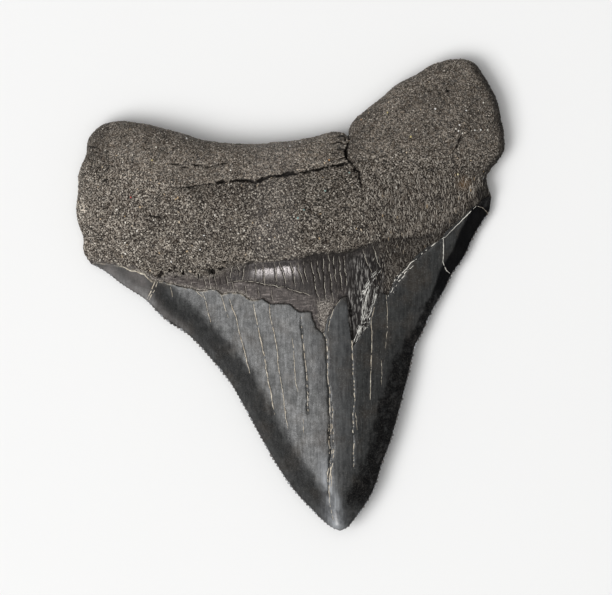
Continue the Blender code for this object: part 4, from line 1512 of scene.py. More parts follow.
class NodeBuilder(NodeMaker):
    """A Geometry Nodes tree with named inputs, built one node at a time."""

    def __init__(self, name: str) -> None:
        """Starts a tree that takes geometry and gives geometry.

        Args:
            name: The tree's name.
        """
        super().__init__(bpy.data.node_groups.new(name, "GeometryNodeTree"))
        for way in ("INPUT", "OUTPUT"):
            self.tree.interface.new_socket("Geometry", in_out=way, socket_type="NodeSocketGeometry")
        self.entry = self.tree.nodes.new("NodeGroupInput")
        self.values: dict[str, float | int] = {}

    def size(self, name: str, value: float | int) -> Socket:
        """Adds a named size, or a whole number, to the tree's inputs.

        Args:
            name: The input's name.
            value: Its value.

        Returns:
            The value inside the tree.
        """
        kind = "NodeSocketInt" if isinstance(value, int) else "NodeSocketFloat"
        self.tree.interface.new_socket(name, in_out="INPUT", socket_type=kind)
        self.values[name] = value
        return self.entry.outputs[name]

    def named(self, name: str) -> Socket:
        """Reads a number stored on the geometry."""
        return self.out("GeometryNodeInputNamedAttribute", {"Name": name}, data_type="FLOAT")

    def random(self, seed: int | Socket, low: float | Colour, high: float | Colour) -> Socket:
        """Draws a number, or three, for each point or instance.

        Args:
            seed: Picks the draw.
            low: The least value, or one for each axis.
            high: The greatest value, or one for each axis.

        Returns:
            The drawn value.
        """
        kind, first, found = ("FLOAT_VECTOR", 0, 0) if isinstance(low, tuple) else ("FLOAT", 2, 1)
        inputs = {"Seed": seed, first: low, first + 1: high}
        return self.node("FunctionNodeRandomValue", inputs, data_type=kind).outputs[found]

    def scaled(self, vector: Socket, scale: Value) -> Socket:
        """A vector made longer or shorter."""
        return self.out("ShaderNodeVectorMath", {0: vector, "Scale": scale}, operation="SCALE")

    def axes(self, *values: Value) -> Socket:
        """A vector from its parts."""
        return self.out("ShaderNodeCombineXYZ", dict(enumerate(values)))

    def ball(self, subdivisions: int) -> Socket:
        """A faceted ball with a radius of 1."""
        return self.out("GeometryNodeMeshIcoSphere", {"Radius": 1.0, "Subdivisions": subdivisions})

    def placed(self, points: Socket, shape: Socket, **inputs: Socket) -> Socket:
        """Sets a shape on every point."""
        return self.out("GeometryNodeInstanceOnPoints", {"Points": points, "Instance": shape} | inputs)

    def stored(self, geometry: Socket, name: str, value: Value) -> Socket:
        """Stores a number for each instance, for a material to read."""
        inputs = {"Geometry": geometry, "Name": name, "Value": value}
        return self.out("GeometryNodeStoreNamedAttribute", inputs, data_type="FLOAT", domain="INSTANCE")

    def finish(self, geometry: Socket, material: bpy.types.Material) -> None:
        """Ends the tree in realized, dressed geometry.

        Args:
            geometry: The tree's result.
            material: The finish.
        """
        real = self.out("GeometryNodeRealizeInstances", {"Geometry": geometry})
        dressed = self.out("GeometryNodeSetMaterial", {"Geometry": real, "Material": material})
        self.feed(self.tree.nodes.new("NodeGroupOutput").inputs["Geometry"], dressed)

    def applied(self, base: bpy.types.Object, name: str) -> bpy.types.Object:
        """Runs the tree on an object and keeps the result as a plain piece.

        Args:
            base: The object that carries the tree's input geometry. It is removed.
            name: The new piece's name.

        Returns:
            The new object, at the origin, with its place in its mesh.
        """
        modifier = base.modifiers.new(name, "NODES")
        modifier.node_group = self.tree
        for item in self.tree.interface.items_tree:
            if item.in_out == "INPUT" and item.name in self.values:
                modifier[item.identifier] = self.values[item.name]
        graph = bpy.context.evaluated_depsgraph_get()
        mesh = bpy.data.meshes.new_from_object(
            base.evaluated_get(graph), preserve_all_data_layers=True, depsgraph=graph)
        mesh.name = name
        bpy.data.objects.remove(base)
        piece = bpy.data.objects.new(name, mesh)
        bpy.context.scene.collection.objects.link(piece)
        return piece


def polyline_object(name: str, lines: Sequence[Array],
                    attributes: dict[str, Array] | None = None) -> bpy.types.Object:
    """An object whose mesh is bare lines, for a Geometry Nodes tree to work on.

    Args:
        name: The object's name.
        lines: One array of places for each line.
        attributes: Numbers for all the lines' points, by name.

    Returns:
        The object, linked to the scene.
    """
    places, edges = [], []
    for line in lines:
        first = len(places)
        places.extend(map(tuple, line))
        edges.extend((first + i, first + i + 1) for i in range(len(line) - 1))
    mesh = bpy.data.meshes.new(name)
    mesh.from_pydata(places, edges, [])
    for key, values in (attributes or {}).items():
        write_attribute(mesh, key, values)
    piece = bpy.data.objects.new(name, mesh)
    bpy.context.scene.collection.objects.link(piece)
    return piece


@dataclass
class Body:
    """A main piece of the tooth: a closed mesh of two sheets, raised, marked and given its finish."""

    def top(self, survey: Survey) -> Array:
        """The lingual height over each point."""
        raise NotImplementedError

    def bottom(self, survey: Survey) -> Array:
        """The labial height over each point."""
        raise NotImplementedError

    def joined(self, name: str, top: PointBed, under: PointBed, hidden: Array,
               around: Survey) -> TwoFacedBody:
        """Joins the two sheets at their ring.

        Args:
            name: The mesh's name.
            top: The upper sheet's points, whose ring both sheets share.
            under: The under sheet's points.
            hidden: True for the ring's points that lie out of sight inside the tooth.
            around: The ring's distances.

        Returns:
            The closed body.
        """
        sheets = []
        rim_heights = FORM.rise * FORM.rim(around)
        for points, height in ((top.points(), self.top), (under.points(), self.bottom)):
            ring_heights = np.where(hidden, height(around), rim_heights)
            sheets.append(Sheet(points, ring_heights, height(Survey(points))))
        return TwoFacedBody(name, top.ring, *sheets)

    @staticmethod
    def finished(mesh: bpy.types.Mesh, marks: dict[str, Array],
                 material: bpy.types.Material) -> bpy.types.Object:
        """Stores a body's marks and gives it its material.

        Args:
            mesh: The body's mesh.
            marks: A number for each vertex, by name, for the material to read.
            material: The finish.

        Returns:
            The body's object.
        """
        for name, numbers in marks.items():
            write_attribute(mesh, name, numbers)
        mesh.materials.append(material)
        return bpy.data.objects.new(mesh.name, mesh)


@dataclass
class Root(Body):
    """The root with its bourlette, whose body ends out of sight under the enamel."""

    top_gap: float = 1.04
    under_gap: float = 2.9
    rim_insets: tuple[float, ...] = (0.012, 0.045, 0.11, 0.22)
    finish: FossilBone = field(default_factory=FossilBone)
    slab_drop: float = 0.55 * MM
    grain_depth: float = 0.17 * MM
    wrinkle_pitch: float = 0.86 * MM
    wrinkle_depth: float = 0.11 * MM
    folds: Patch = Patch(left=(165, 25), right=(412, 25))
    streaks: Patch = Patch(left=(325, 80), top=(155, 35))
    crumbling: Patch = Patch(left=(140, 20), right=(262, 20))
    bright_fold: Patch = Patch(left=(246, 14), right=(304, 14), bottom=(282, 12))
    matt_band: Patch = Patch(left=(222, 12), right=(322, 12))
    notch: Patch = Patch(left=(344, 5), right=(388, 8), top=(250, 12))
    left_margin: Patch = Patch(left=(120, 20), right=(258, 10))
    left_foot: Patch = Patch(left=(150, 12), right=(250, 12))
    pale_left: Patch = Patch(right=(205, 60), top=(160, 30))
    pale_lobe: Patch = Patch(left=(350, 25), bottom=(175, 30))
    shaded_flank: Patch = Patch(left=(466, 12), bottom=(205, 20))
    dark_foot: Patch = Patch(left=(362, 14))
    shaded_crease: Patch = Patch(left=(336, 10), right=(440, 10))
    shaded_corner: Patch = Patch(left=(473, 6), top=(183, 6))
    dark_folds: Patch = Patch(left=(296, 10), right=(358, 8), bottom=(294, 8))
    dark_upper_left: Patch = Patch(right=(225, 20), bottom=(168, 16))
    stain: tuple[float, float, float, float] = (463, 184, 11, 10)

    def cracks(self, points: Array) -> Array:
        """Sinks all the root's cracks and pits.

        Args:
            points: Plan points.

        Returns:
            The depth at each point.
        """
        depths = [crack.groove(points) for crack in ROOT_GROOVES]
        for column, row, radius, deep in PITS:
            away = np.linalg.norm(points - VIEW.plan([(column, row)]), axis=1)
            depths.append(deep * MM * (1 - ramp(away / (radius * MM))))
        return np.maximum.reduce(depths)

    @staticmethod
    def slab(points: Array) -> Array:
        """Tells which points are on the slab between the upper cracks.

        Args:
            points: Plan points.

        Returns:
            1 on the slab, 0 off it.
        """
        edge = Line(np.vstack([MARKS.slab, MARKS.slab[:1]]))
        side = np.where(inside(points, MARKS.slab), 1, -1) * edge.distance(points)
        return ramp(0.5 + side / (0.25 * MM))

    def sunken(self, points: Array) -> Array:
        """How far the slab has sunk, most beside the taller lobe."""
        lobe = Line.straight(((347, 150), (347, 165))).distance(points)
        return self.slab_drop * self.slab(points) * (1 - ramp(lobe / (14 * MM)))

    @staticmethod
    def chips(points: Array) -> Array:
        """Tells which points are on the smooth chipped facets.

        Args:
            points: Plan points.

        Returns:
            1 on a facet, 0 off them.
        """
        facets = [np.linalg.norm(points - VIEW.plan([(column, row)]), axis=1) / (radius * MM)
                  for column, row, radius in CHIPS]
        return 1 - ramp((np.minimum.reduce(facets) - 0.7) / 0.3)

    def painted_light_and_paler(self, survey: Survey) -> Array:
        """Marks where the bone is painted paler: most on the sunken slab, as painted light that lifts the
        shade it lies in, and a little at the upper left and on the lobe.

        Args:
            survey: The points' distances.

        Returns:
            How pale each point is, from 0 to 1.
        """
        left, lobe = 0.35 * survey.share(self.pale_left), 0.42 * survey.share(self.pale_lobe)
        # The slab's lift is painted light over its shade
        return np.maximum.reduce([0.78 * self.slab(survey.points), left, lobe])

    def shade_and_darker(self, survey: Survey) -> Array:
        """Marks where the root is painted darker: painted shade on the steep right flank that faces away from
        the light, at the right corner and in the crease under the root's foot, and a darker tone under the
        foot at the right, on the bourlette's right folds and at the upper left.

        Args:
            survey: The points' distances.

        Returns:
            How dark each point is, from 0 to 1.
        """
        return np.maximum.reduce([
            0.8 * ramp(1.3 - survey.inset / (1.3 * MM)) * survey.share(self.shaded_flank),
            0.52 * ramp(0.7 - survey.foot / (0.8 * MM)) * survey.share(self.dark_foot),
            0.85 * bell(survey.foot + 0.3 * MM, 0.4 * MM) * survey.share(self.shaded_crease),
            0.85 * survey.share(self.shaded_corner),
            0.55 * survey.share(self.dark_folds) * ramp(-survey.foot / (0.5 * MM)),
            0.16 * survey.share(self.dark_upper_left),
        ])

    def wrinkles(self, survey: Survey) -> Array:
        """Folds the bourlette, rounded on top with sharp furrows between.

        Args:
            survey: The points' distances.

        Returns:
            The folds' height, 0 on top and negative in the furrows.
        """
        lean = 0.10 + 0.3 * ramp((survey.columns - 345) / 60)
        across = survey.points[:, 0] + lean * survey.points[:, 1]
        sway = Noise.value(survey.place, np.array((1.6, 5.0, 1.0)) * MM, 71)
        across = across + 0.32 * self.wrinkle_pitch * sway
        fold = np.abs(np.sin(math.pi * across / self.wrinkle_pitch)) ** 0.7
        uneven = 0.75 + 0.5 * Noise.value(survey.place, np.array((1.1, 3.5, 1.0)) * MM, 72)
        lower_end = 0.35 + 0.65 * ramp((6.6 * MM + survey.foot) / (2 * MM))
        reach = survey.share(self.folds) * ramp(-survey.foot / (0.8 * MM)) * lower_end
        return self.wrinkle_depth * reach * uneven * (fold - 1)

    @staticmethod
    def fissure(survey: Survey) -> Array:
        """Opens the gap along the enamel's margin.

        Args:
            survey: The points' distances.

        Returns:
            The gap's depth at each point.
        """
        depth = 0.176 * MM * bell(survey.enamel + 0.07 * MM, 0.08 * MM)
        wide = np.maximum(survey.share(OPEN_MARGIN), 2.2 * survey.share(OPEN_LEAF))
        uneven = np.clip(0.75 + 1.3 * Noise.value(survey.place, 0.55 * MM, 98), 0.1, 1.5)
        return depth * (0.12 + 0.88 * wide) * uneven

    def top(self, survey: Survey) -> Array:
        """Shapes the lingual side of the root and bourlette.

        Args:
            survey: The points' distances.

        Returns:
            The height over each point.
        """
        upper, under = FORM.upper(survey), FORM.under(survey)
        step = ramp(-survey.foot / (2 * MM)) * ramp(0.5 + (0.3 * MM - survey.enamel) / (0.5 * MM))
        step *= FORM.enamel_step
        hidden = FORM.enamel_step + 0.4 * survey.enamel
        step = np.where(survey.enamel > 0.1 * MM, np.maximum(step, hidden), step)
        drop = self.cracks(survey.points) + self.sunken(survey.points) + step
        drop += self.fissure(survey) + FORM.shelf(survey)
        height = upper + (self.wrinkles(survey) - drop) * survey.away
        return np.maximum(height, under + 0.55 * (upper - under))

    def bottom(self, survey: Survey) -> Array:
        """Shapes the labial side, which passes into the crown's body beyond the enamel's margin.

        Args:
            survey: The points' distances.

        Returns:
            The height over each point.
        """
        upper, under = FORM.upper(survey), FORM.under(survey)
        seen = under + FORM.labial_step * FORM.off_rest(survey) * survey.away
        return np.where(survey.labial > 0, np.minimum(seen, upper), under + 0.2 * (upper - under))

    @staticmethod
    def ring() -> Array:
        """The root's outline in plan, then back under the enamel."""
        hidden = Line.straight(ROOT_CORE_END).spaced(3 * VIEW.pixel).points
        return np.vstack([MARKS.root.spaced(1.15 * VIEW.pixel).points[:-1], hidden[:-1]])

    def body(self) -> TwoFacedBody:
        """Lays out the root's two sheets, before the grain is raised.

        Returns:
            The closed body.
        """
        pixel, ring = VIEW.pixel, self.ring()
        low, high = ring.min(0), ring.max(0)
        rim = [-inset * MM for inset in self.rim_insets]
        top, under = PointBed(ring), PointBed(ring)
        for crack in ROOT_GROOVES:
            offsets = (0, 0.9 * crack.half_width, -0.9 * crack.half_width)
            top.add(crack.line.beside(1.1 * pixel, offsets), 0.35 * pixel)
        top.add(MARKS.margin.beside(1.2 * pixel, (0.12 * MM, -0.12 * MM)), 0.45 * pixel)
        top.add(MARKS.root.beside(1.15 * pixel, rim), 0.02 * pixel, 0.008 * MM)
        top.add(lattice(low, high, self.top_gap * pixel), 0.62 * pixel)
        under.add(MARKS.root.beside(1.6 * pixel, rim), 0.02 * pixel, 0.008 * MM)
        under.add(MARKS.labial.beside(1.6 * pixel, (0.05 * MM, -0.12 * MM)), 0.4 * pixel)
        under.add(lattice(low, high, self.under_gap * pixel), 1.2 * pixel)
        around = Survey(ring)
        return self.joined("tooth_root", top, under, around.inset > 0.02 * MM, around)

    def pitting(self, places: Array, survey: Survey) -> tuple[Array, Array]:
        """Crumbles the bone along the root's foot at the left.

        Args:
            places: The vertices.
            survey: The distances of the vertices on the plan.

        Returns:
            Where the bone crumbles, from 0 to 1, and its pits, from 0 to about 0.5.
        """
        crumble = bell(survey.foot, 0.9 * MM) * survey.share(self.crumbling)
        return crumble, np.clip(Noise.value(places, 0.48 * MM, 86) - 0.08, 0, 1) * crumble

    def grain_level(self, places: Array, survey: Survey) -> Array:
        """Mixes round grains with long ones, which take over towards the right.

        Args:
            places: The vertices.
            survey: The distances of the vertices on the plan.

        Returns:
            The level of the grain, from 0 in the hollows to 1.
        """
        leant = places.copy()
        leant[:, 0] += 0.22 * places[:, 1]
        even = Noise.value(places, np.array((0.25, 0.31, 0.28)) * MM, 81)
        even += 0.7 * Noise.value(places, np.array((0.12, 0.14, 0.13)) * MM, 82)
        long = Noise.value(leant, np.array((0.25, 0.95, 0.5)) * MM, 83)
        long += 0.6 * Noise.value(leant, np.array((0.14, 0.3, 0.3)) * MM, 84)
        waves = even + survey.share(self.streaks) * (long - even)
        return np.clip(0.5 + 0.55 * waves, 0, 1)

    def relief(self, places: Array, survey: Survey, polish: Array) -> tuple[Array, Array]:
        """Raises the grain of the bone.

        Args:
            places: The vertices.
            survey: The distances of the vertices on the plan.
            polish: 1 where the surface is smooth instead.

        Returns:
            The height of the grain along the normal, and its level from 0 in the hollows to 1.
        """
        level = self.grain_level(places, survey)
        rough = Noise.layered(places, 1.5 * MM, 87)
        broad = Noise.layered(places, 3.2 * MM, 91, 2)
        depth = self.grain_depth * (1 - 0.45 * survey.fine)
        crumble, pitted = self.pitting(places, survey)
        grain = depth * (level - 0.5) + 0.08 * MM * rough + 0.11 * MM * broad
        grain += 0.5 * MM * crumble * (level - 0.75)
        ragged = 0.13 * Noise.layered(places, 1.1 * MM, 88) + 0.07 * Noise.value(places, 0.4 * MM, 89)
        grain += ramp(1 - survey.inset / (0.9 * MM)) * MM * ragged
        left = ramp((250 - survey.columns) / 20)
        fine_lumps = 0.015 * MM * rough + 0.05 * MM * left * (level - 0.5)
        grain *= 1 - 0.8 * self.chips(survey.points)
        return grain * (1 - polish) + fine_lumps * polish - 0.9 * MM * pitted, level

    @staticmethod
    def polish(survey: Survey, upward: Array) -> Array:
        """Tells the bare, glossy bourlette from the granular bone.

        Args:
            survey: The points' distances.
            upward: The upward part of each point's normal.

        Returns:
            1 on the bourlette, 0 on the bone.
        """
        edge = survey.foot + 0.3 * MM + 0.3 * MM * Noise.value(survey.place, 0.9 * MM, 95)
        polish = ramp(0.5 - edge / (0.5 * MM)) * (1 - 0.9 * ramp((survey.columns - 368) / 22))
        return np.where(upward < -0.2, ramp(0.5 - survey.labial / (0.5 * MM)), polish)

    def rubble(self, survey: Survey) -> Array:
        """Marks the bourlette's crumbled parts, at its left and in its lowest point.

        Args:
            survey: The points' distances.

        Returns:
            How crumbled each point is, from 0 to 1.
        """
        aside = np.abs(survey.columns - 324) - (336 - survey.rows) / 5
        shard = 1 - ramp(aside / 4 + 0.8 * Noise.value(survey.place, 0.5 * MM, 97))
        return np.maximum.reduce([
            bell(survey.enamel, 0.5 * MM) * survey.share(self.left_margin),
            bell(survey.foot + 0.2 * MM, 0.7 * MM) * survey.share(self.left_foot),
            shard * 0.8 * ramp((survey.rows - 296) / 8),
        ])

    def build(self, bounds: Bounds) -> bpy.types.Object:
        """Builds the finished root.

        Args:
            bounds: The lowest and highest corners that it must stay inside.

        Returns:
            The root's object.
        """
        mesh = self.body().mesh()
        places, upward = read_places(mesh), vertex_normals(mesh)
        survey = Survey(places[:, :2])
        polish = self.polish(survey, upward[:, 2])
        raised, level = self.relief(places, survey, polish)
        seen = ramp(1 - survey.enamel / (0.4 * MM))
        settle(mesh, places + upward * (raised * seen)[:, None], bounds)
        top_side = upward[:, 2] > -0.1
        pits = self.pitting(places, survey)[1]
        # How deep each crack or pit is, for the painted shade and dark dirt in it
        crevice_dirt_and_shade = ramp(self.cracks(survey.points) / (0.42 * MM) + 3.2 * pits) * top_side
        lower = MARKS.band.above(survey.points)
        band = ramp(0.5 - lower / (0.5 * MM)) * survey.share(self.matt_band)
        band = np.maximum(band, 0.9 * ramp((236 - survey.columns) / 14))
        column, row, wide, high = self.stain
        stain = 1 - ramp(np.hypot((survey.columns - column) / wide, (survey.rows - row) / high))
        bare = ramp(1 - polish) * ramp(upward[:, 2] / 0.25) * ramp(1 - 3 * crevice_dirt_and_shade)
        bare = bare * (survey.enamel < -0.2 * MM) * (1 - self.chips(survey.points)) * (1 - 0.25 * survey.fine)
        marks = {
            "grains": bare, "long": survey.share(self.streaks), "gloss": survey.share(self.bright_fold),
            "polish": polish, "grain": level, "fine": survey.fine, "crevice_dirt_and_shade": 0.95 * crevice_dirt_and_shade,
            "band": band * polish * top_side, "crumb": 0.85 * self.rubble(survey) * polish * top_side,
            "stain": stain * top_side, "spall": survey.share(self.notch) * top_side,
            "painted_light_and_paler": self.painted_light_and_paler(survey) * top_side, "shade_and_darker": self.shade_and_darker(survey) * top_side,
        }
        return self.finished(mesh, marks, self.finish.material())


@dataclass
class Crown(Body):
    """The enamel crown, whose body ends out of sight under the root."""

    top_gap: float = 1.55
    under_gap: float = 3.2
    edge_inset: float = 0.14 * MM
    lip: float = 0.10 * MM
    finish: Enamel = field(default_factory=Enamel)
    left_shoulder: Patch = Patch(right=(166, 26))
    left_band: Patch = Patch(right=(210, 50))
    tip: Patch = Patch(top=(440, 50))
    tip_crest: Patch = Patch(top=(508, 7), bottom=(527, 4))
    lit_middle: Patch = Patch(left=(328, 6), right=(360, 6), top=(298, 12), bottom=(480, 30))
    right_edge: Patch = Patch(bottom=(525, 30))
    left_edge: Patch = Patch(left=(146, 16))
    clean_edge: Patch = Patch(bottom=(306, 18))
    corner: Patch = Patch(left=(472, 4), bottom=(208, 4))
    chalky: Patch = Patch(right=(262, 8))
    dark_rows: tuple[float, ...] = (205, 235, 270, 300, 345, 365, 420, 480)
    dark_widths: tuple[float, ...] = (3.4, 3.0, 2.6, 1.9, 2.4, 4.3, 4.6, 4.2)

    def veins(self, points: Array) -> Array:
        """The depth of the grooves along the cracks and veins."""
        return np.maximum.reduce([vein.groove(points) for vein in ENAMEL_VEINS])

    def top(self, survey: Survey) -> Array:
        """Shapes the lingual side, down to a plate under the root beyond the enamel's margin.

        Args:
            survey: The points' distances.

        Returns:
            The height over each point.
        """
        upper, under = FORM.upper(survey), FORM.under(survey)
        lip = self.lip * (1 - np.clip(survey.enamel / (0.25 * MM), 0, 1)) ** 2
        enamel = upper - (lip + self.veins(survey.points)) * survey.away
        return np.where(survey.enamel > 0, enamel, under + 0.35 * (upper - under))

    def bottom(self, survey: Survey) -> Array:
        """The labial height."""
        lip = self.lip * (1 - np.clip(-survey.labial / (0.4 * MM), 0, 1)) ** 2
        return FORM.under(survey) + lip * FORM.off_rest(survey) * survey.away

    def ring(self) -> Array:
        """Follows the notches of the serrations in plan, then goes back under the root.

        Returns:
            The ring's plan points.
        """
        rows = []
        for edge in (MARKS.left, MARKS.right):
            even = edge.spaced(1.5 * VIEW.pixel)
            travel = even.travel()
            ends = ramp(np.minimum(travel, travel[-1] - travel) / (1.5 * MM))
            rows.append(even.shifted(-self.edge_inset * ends)[:-1])
        rows.append(Line.curved(CROWN_CORE_END).spaced(3 * VIEW.pixel).points[:-1])
        return np.vstack(rows)

    def body(self) -> TwoFacedBody:
        """Lays out the crown's two sheets, before their fine relief.

        Returns:
            The closed body.
        """
        pixel, ring = VIEW.pixel, self.ring()
        low, high = ring.min(0), ring.max(0)
        top, under = PointBed(ring), PointBed(ring)
        for vein in ENAMEL_VEINS:
            offsets = [share * vein.half_width for share in (0, 1, -1, 2, -2)]
            top.add(vein.line.beside(2 * pixel, offsets), 0.3 * pixel)
        top.add(MARKS.margin.beside(1.1 * pixel, (0.02 * MM, -0.02 * MM, 0.14 * MM, 0.36 * MM)), 0.05 * pixel)
        for edge in (MARKS.left, MARKS.right):
            top.add(edge.beside(1.5 * pixel, (-0.22 * MM, -0.42 * MM)), 0.4 * pixel)
            under.add(edge.beside(2 * pixel, (-0.16 * MM, -0.3 * MM, -0.6 * MM)), 0.2 * pixel, 0.03 * MM)
        top.add(lattice(low, high, self.top_gap * pixel), 0.7 * pixel)
        under.add(MARKS.labial.beside(2 * pixel, (0.12 * MM, 0.36 * MM)), 0.4 * pixel)
        under.add(lattice(low, high, self.under_gap * pixel), 1.3 * pixel)
        around = Survey(ring)
        hidden = Line.curved(CROWN_CORE_END).distance(ring) < 0.01 * MM
        return self.joined("tooth_crown", top, under, hidden & (around.inset > 0.05 * MM), around)

    def worn(self, places: Array, survey: Survey) -> Array:
        """Marks the worn, paler enamel of the left shoulder.

        Args:
            places: The vertices.
            survey: The distances of the vertices on the plan.

        Returns:
            How pale each vertex is, from 0 to 1.
        """
        cloudy = Noise.layered(places, np.array((2.2, 2.2, 2.2)) * MM, 110)
        shoulder = survey.share(self.left_shoulder) * np.clip(0.72 + 0.9 * cloudy, 0, 1)
        shoulder *= ramp((survey.left - 0.1 * MM) / (0.4 * MM))
        band = 0.5 * (1 - ramp((survey.left - 1.2 * MM) / (1.6 * MM))) * survey.share(self.left_band)
        return np.maximum(shoulder, band)

    def painted_sheens(self, survey: Survey) -> tuple[Array, Array]:
        """Marks the painted sheen near the tip, and a little painted light in the middle, where the facet
        faces away from the light.

        Args:
            survey: The points' distances.

        Returns:
            How much painted sheen each point has, and how much painted highlight it has along the crest.
        """
        near_tip, rows = MARKS.tip_ridge.distance(survey.points), survey.rows
        reach = (1.2 + 0.6 * ramp((rows - 490) / 16)) * MM
        painted_sheen_and_silver = bell(near_tip, reach) * survey.share(self.tip) * (0.75 + 0.25 * ramp((rows - 500) / 15))
        # A little painted light on the middle facet, which faces away from the light
        lifted = 0.055 * survey.share(self.lit_middle) * (1 + 0.7 * ramp((352 - rows) / 8))
        return np.maximum(painted_sheen_and_silver, lifted), bell(near_tip, 0.26 * MM) * survey.share(self.tip_crest)

    def dull_shaded_edges(self, places: Array, survey: Survey) -> Array:
        """Marks the bands along both cutting edges that are dull and painted in shade, where the bevels catch
        little light.

        Args:
            places: The vertices.
            survey: The distances of the vertices on the plan.

        Returns:
            How dull each vertex is, from 0 to 1.
        """
        rows = survey.rows
        ragged = Noise.layered(places, np.array((0.9, 1.6, 1.0)) * MM, 108)
        ragged = (1.3 - 1.1 * survey.share(self.clean_edge)) * MM * ragged
        width = np.interp(rows, self.dark_rows, self.dark_widths) * MM
        softness = (0.5 + 1.5 * ramp((rows - 300) / 30) + 0.9 * ramp((rows - 380) / 70)) * MM
        right = ramp(0.5 + (width + ragged - survey.right) / softness) * survey.share(self.right_edge)
        left = 0.60 * ramp(0.5 + (4.3 * MM + 1.3 * ragged - survey.left) / (1.5 * MM))
        left *= survey.share(self.left_edge) * (0.45 + 0.55 * ramp((survey.left - 0.9 * MM) / (1.0 * MM)))
        return np.maximum.reduce([right, survey.share(self.corner), left])

    def build(self, bounds: Bounds) -> bpy.types.Object:
        """Builds the finished crown.

        Args:
            bounds: The lowest and highest corners that it must stay inside.

        Returns:
            The crown's object.
        """
        mesh = self.body().mesh()
        places, upward = read_places(mesh), vertex_normals(mesh)
        survey = Survey(places[:, :2])
        shallow = Noise.layered(places, np.array((1.6, 9.0, 3.0)) * MM, 101)
        settle(mesh, places + upward * (0.012 * MM * shallow)[:, None], bounds)
        top_side = upward[:, 2] > -0.1
        painted_sheen_and_silver, painted_highlight = self.painted_sheens(survey)
        groove = np.where(top_side, ramp((self.veins(survey.points) - 0.1 * MM) / (0.12 * MM)), 0)
        wide = np.maximum(survey.share(OPEN_MARGIN), survey.share(OPEN_LEAF))
        # The gap along the margin is painted dark, as shade and dirt in it
        fissure = bell(survey.enamel, 0.07 * MM) * top_side * (0.1 + 0.9 * wide)
        clean = survey.share(self.clean_edge) * (1 - survey.share(self.corner))
        powder = ramp(0.5 + 1.5 * Noise.layered(places, 0.5 * MM, 105))
        chalk = bell(survey.enamel, 0.22 * MM) * powder * survey.share(self.chalky)
        marks = {
            "pale": self.worn(places, survey) * top_side,
            "painted_sheen_and_silver": painted_sheen_and_silver * top_side, "painted_highlight": painted_highlight * top_side,
            "crevice_dirt_and_shade": 0.95 * np.maximum(groove, fissure), "clean": clean,
            "dull": self.dull_shaded_edges(places, survey) * top_side, "chalk": chalk * top_side,
        }
        return self.finished(mesh, marks, self.finish.material())


@dataclass
class SerrationRow:
    """The fine teeth along both cutting edges, instanced at an even pitch and worn unevenly."""

    pitch: float = 0.80 * MM
    reach: float = 0.34 * MM
    inset: float = 0.20 * MM
    seed: int = 7
    full_grown: Patch = Patch(left=(140, 25))
    worn_tip: Patch = Patch(top=(510, 12))
    below_corner: Patch = Patch(top=(207, 10))

    def rows(self) -> bpy.types.Object:
        """Lays out the points that the teeth stand on.

        Returns:
            Both rows as bare lines, with each point's heading and growth.
        """
        lines, sizes = [], []
        for edge in (MARKS.left, MARKS.right):
            crests = edge.spaced(self.pitch / 2, even=True).shifted(-self.inset)[1::2]
            survey = Survey(crests)
            lines.append(np.column_stack([crests, FORM.rise * FORM.rim(survey)]))
            growth = (0.55 + 0.37 * survey.share(self.full_grown)) * (1 - 0.35 * survey.share(self.worn_tip))
            sizes.append(growth * (0.3 + 0.7 * survey.share(self.below_corner)))
        along = np.vstack([np.gradient(line[:, :2], axis=0) for line in lines])
        heading = np.arctan2(along[:, 1], along[:, 0])
        return polyline_object("serration_line", lines, {"heading": heading, "growth": np.concatenate(sizes)})

    def build(self, material: bpy.types.Material) -> bpy.types.Object:
        """Builds both rows of serrations as one piece.

        Args:
            material: The enamel.

        Returns:
            The piece.
        """
        base = self.rows()
        tree = NodeBuilder("serrations")
        sizes = (("Pitch", self.pitch), ("Reach", self.reach), ("Seed", self.seed))
        pitch, reach, seed = (tree.size(*size) for size in sizes)
        size = tree.axes(tree.times(pitch, 0.48), reach, reach)
        tooth = tree.out("GeometryNodeTransform", {"Geometry": tree.ball(2), "Scale": size})
        grown = tree.scaled(tree.random(seed, (0.60, 0.62, 0.7), (1.10, 1.22, 1.1)), tree.named("growth"))
        teeth = tree.placed(tree.entry.outputs["Geometry"], tooth, Scale=grown,
                            Rotation=tree.axes(0.0, 0.0, tree.named("heading")))
        teeth = tree.stored(teeth, "pale", tree.random(12, 0.0, 1.6))
        # On the serrations the same mark gives random teeth a silvery tone
        tree.finish(tree.stored(teeth, "painted_sheen_and_silver", tree.random(14, -1.0, 0.9)), material)
        return tree.applied(base, "serrations")


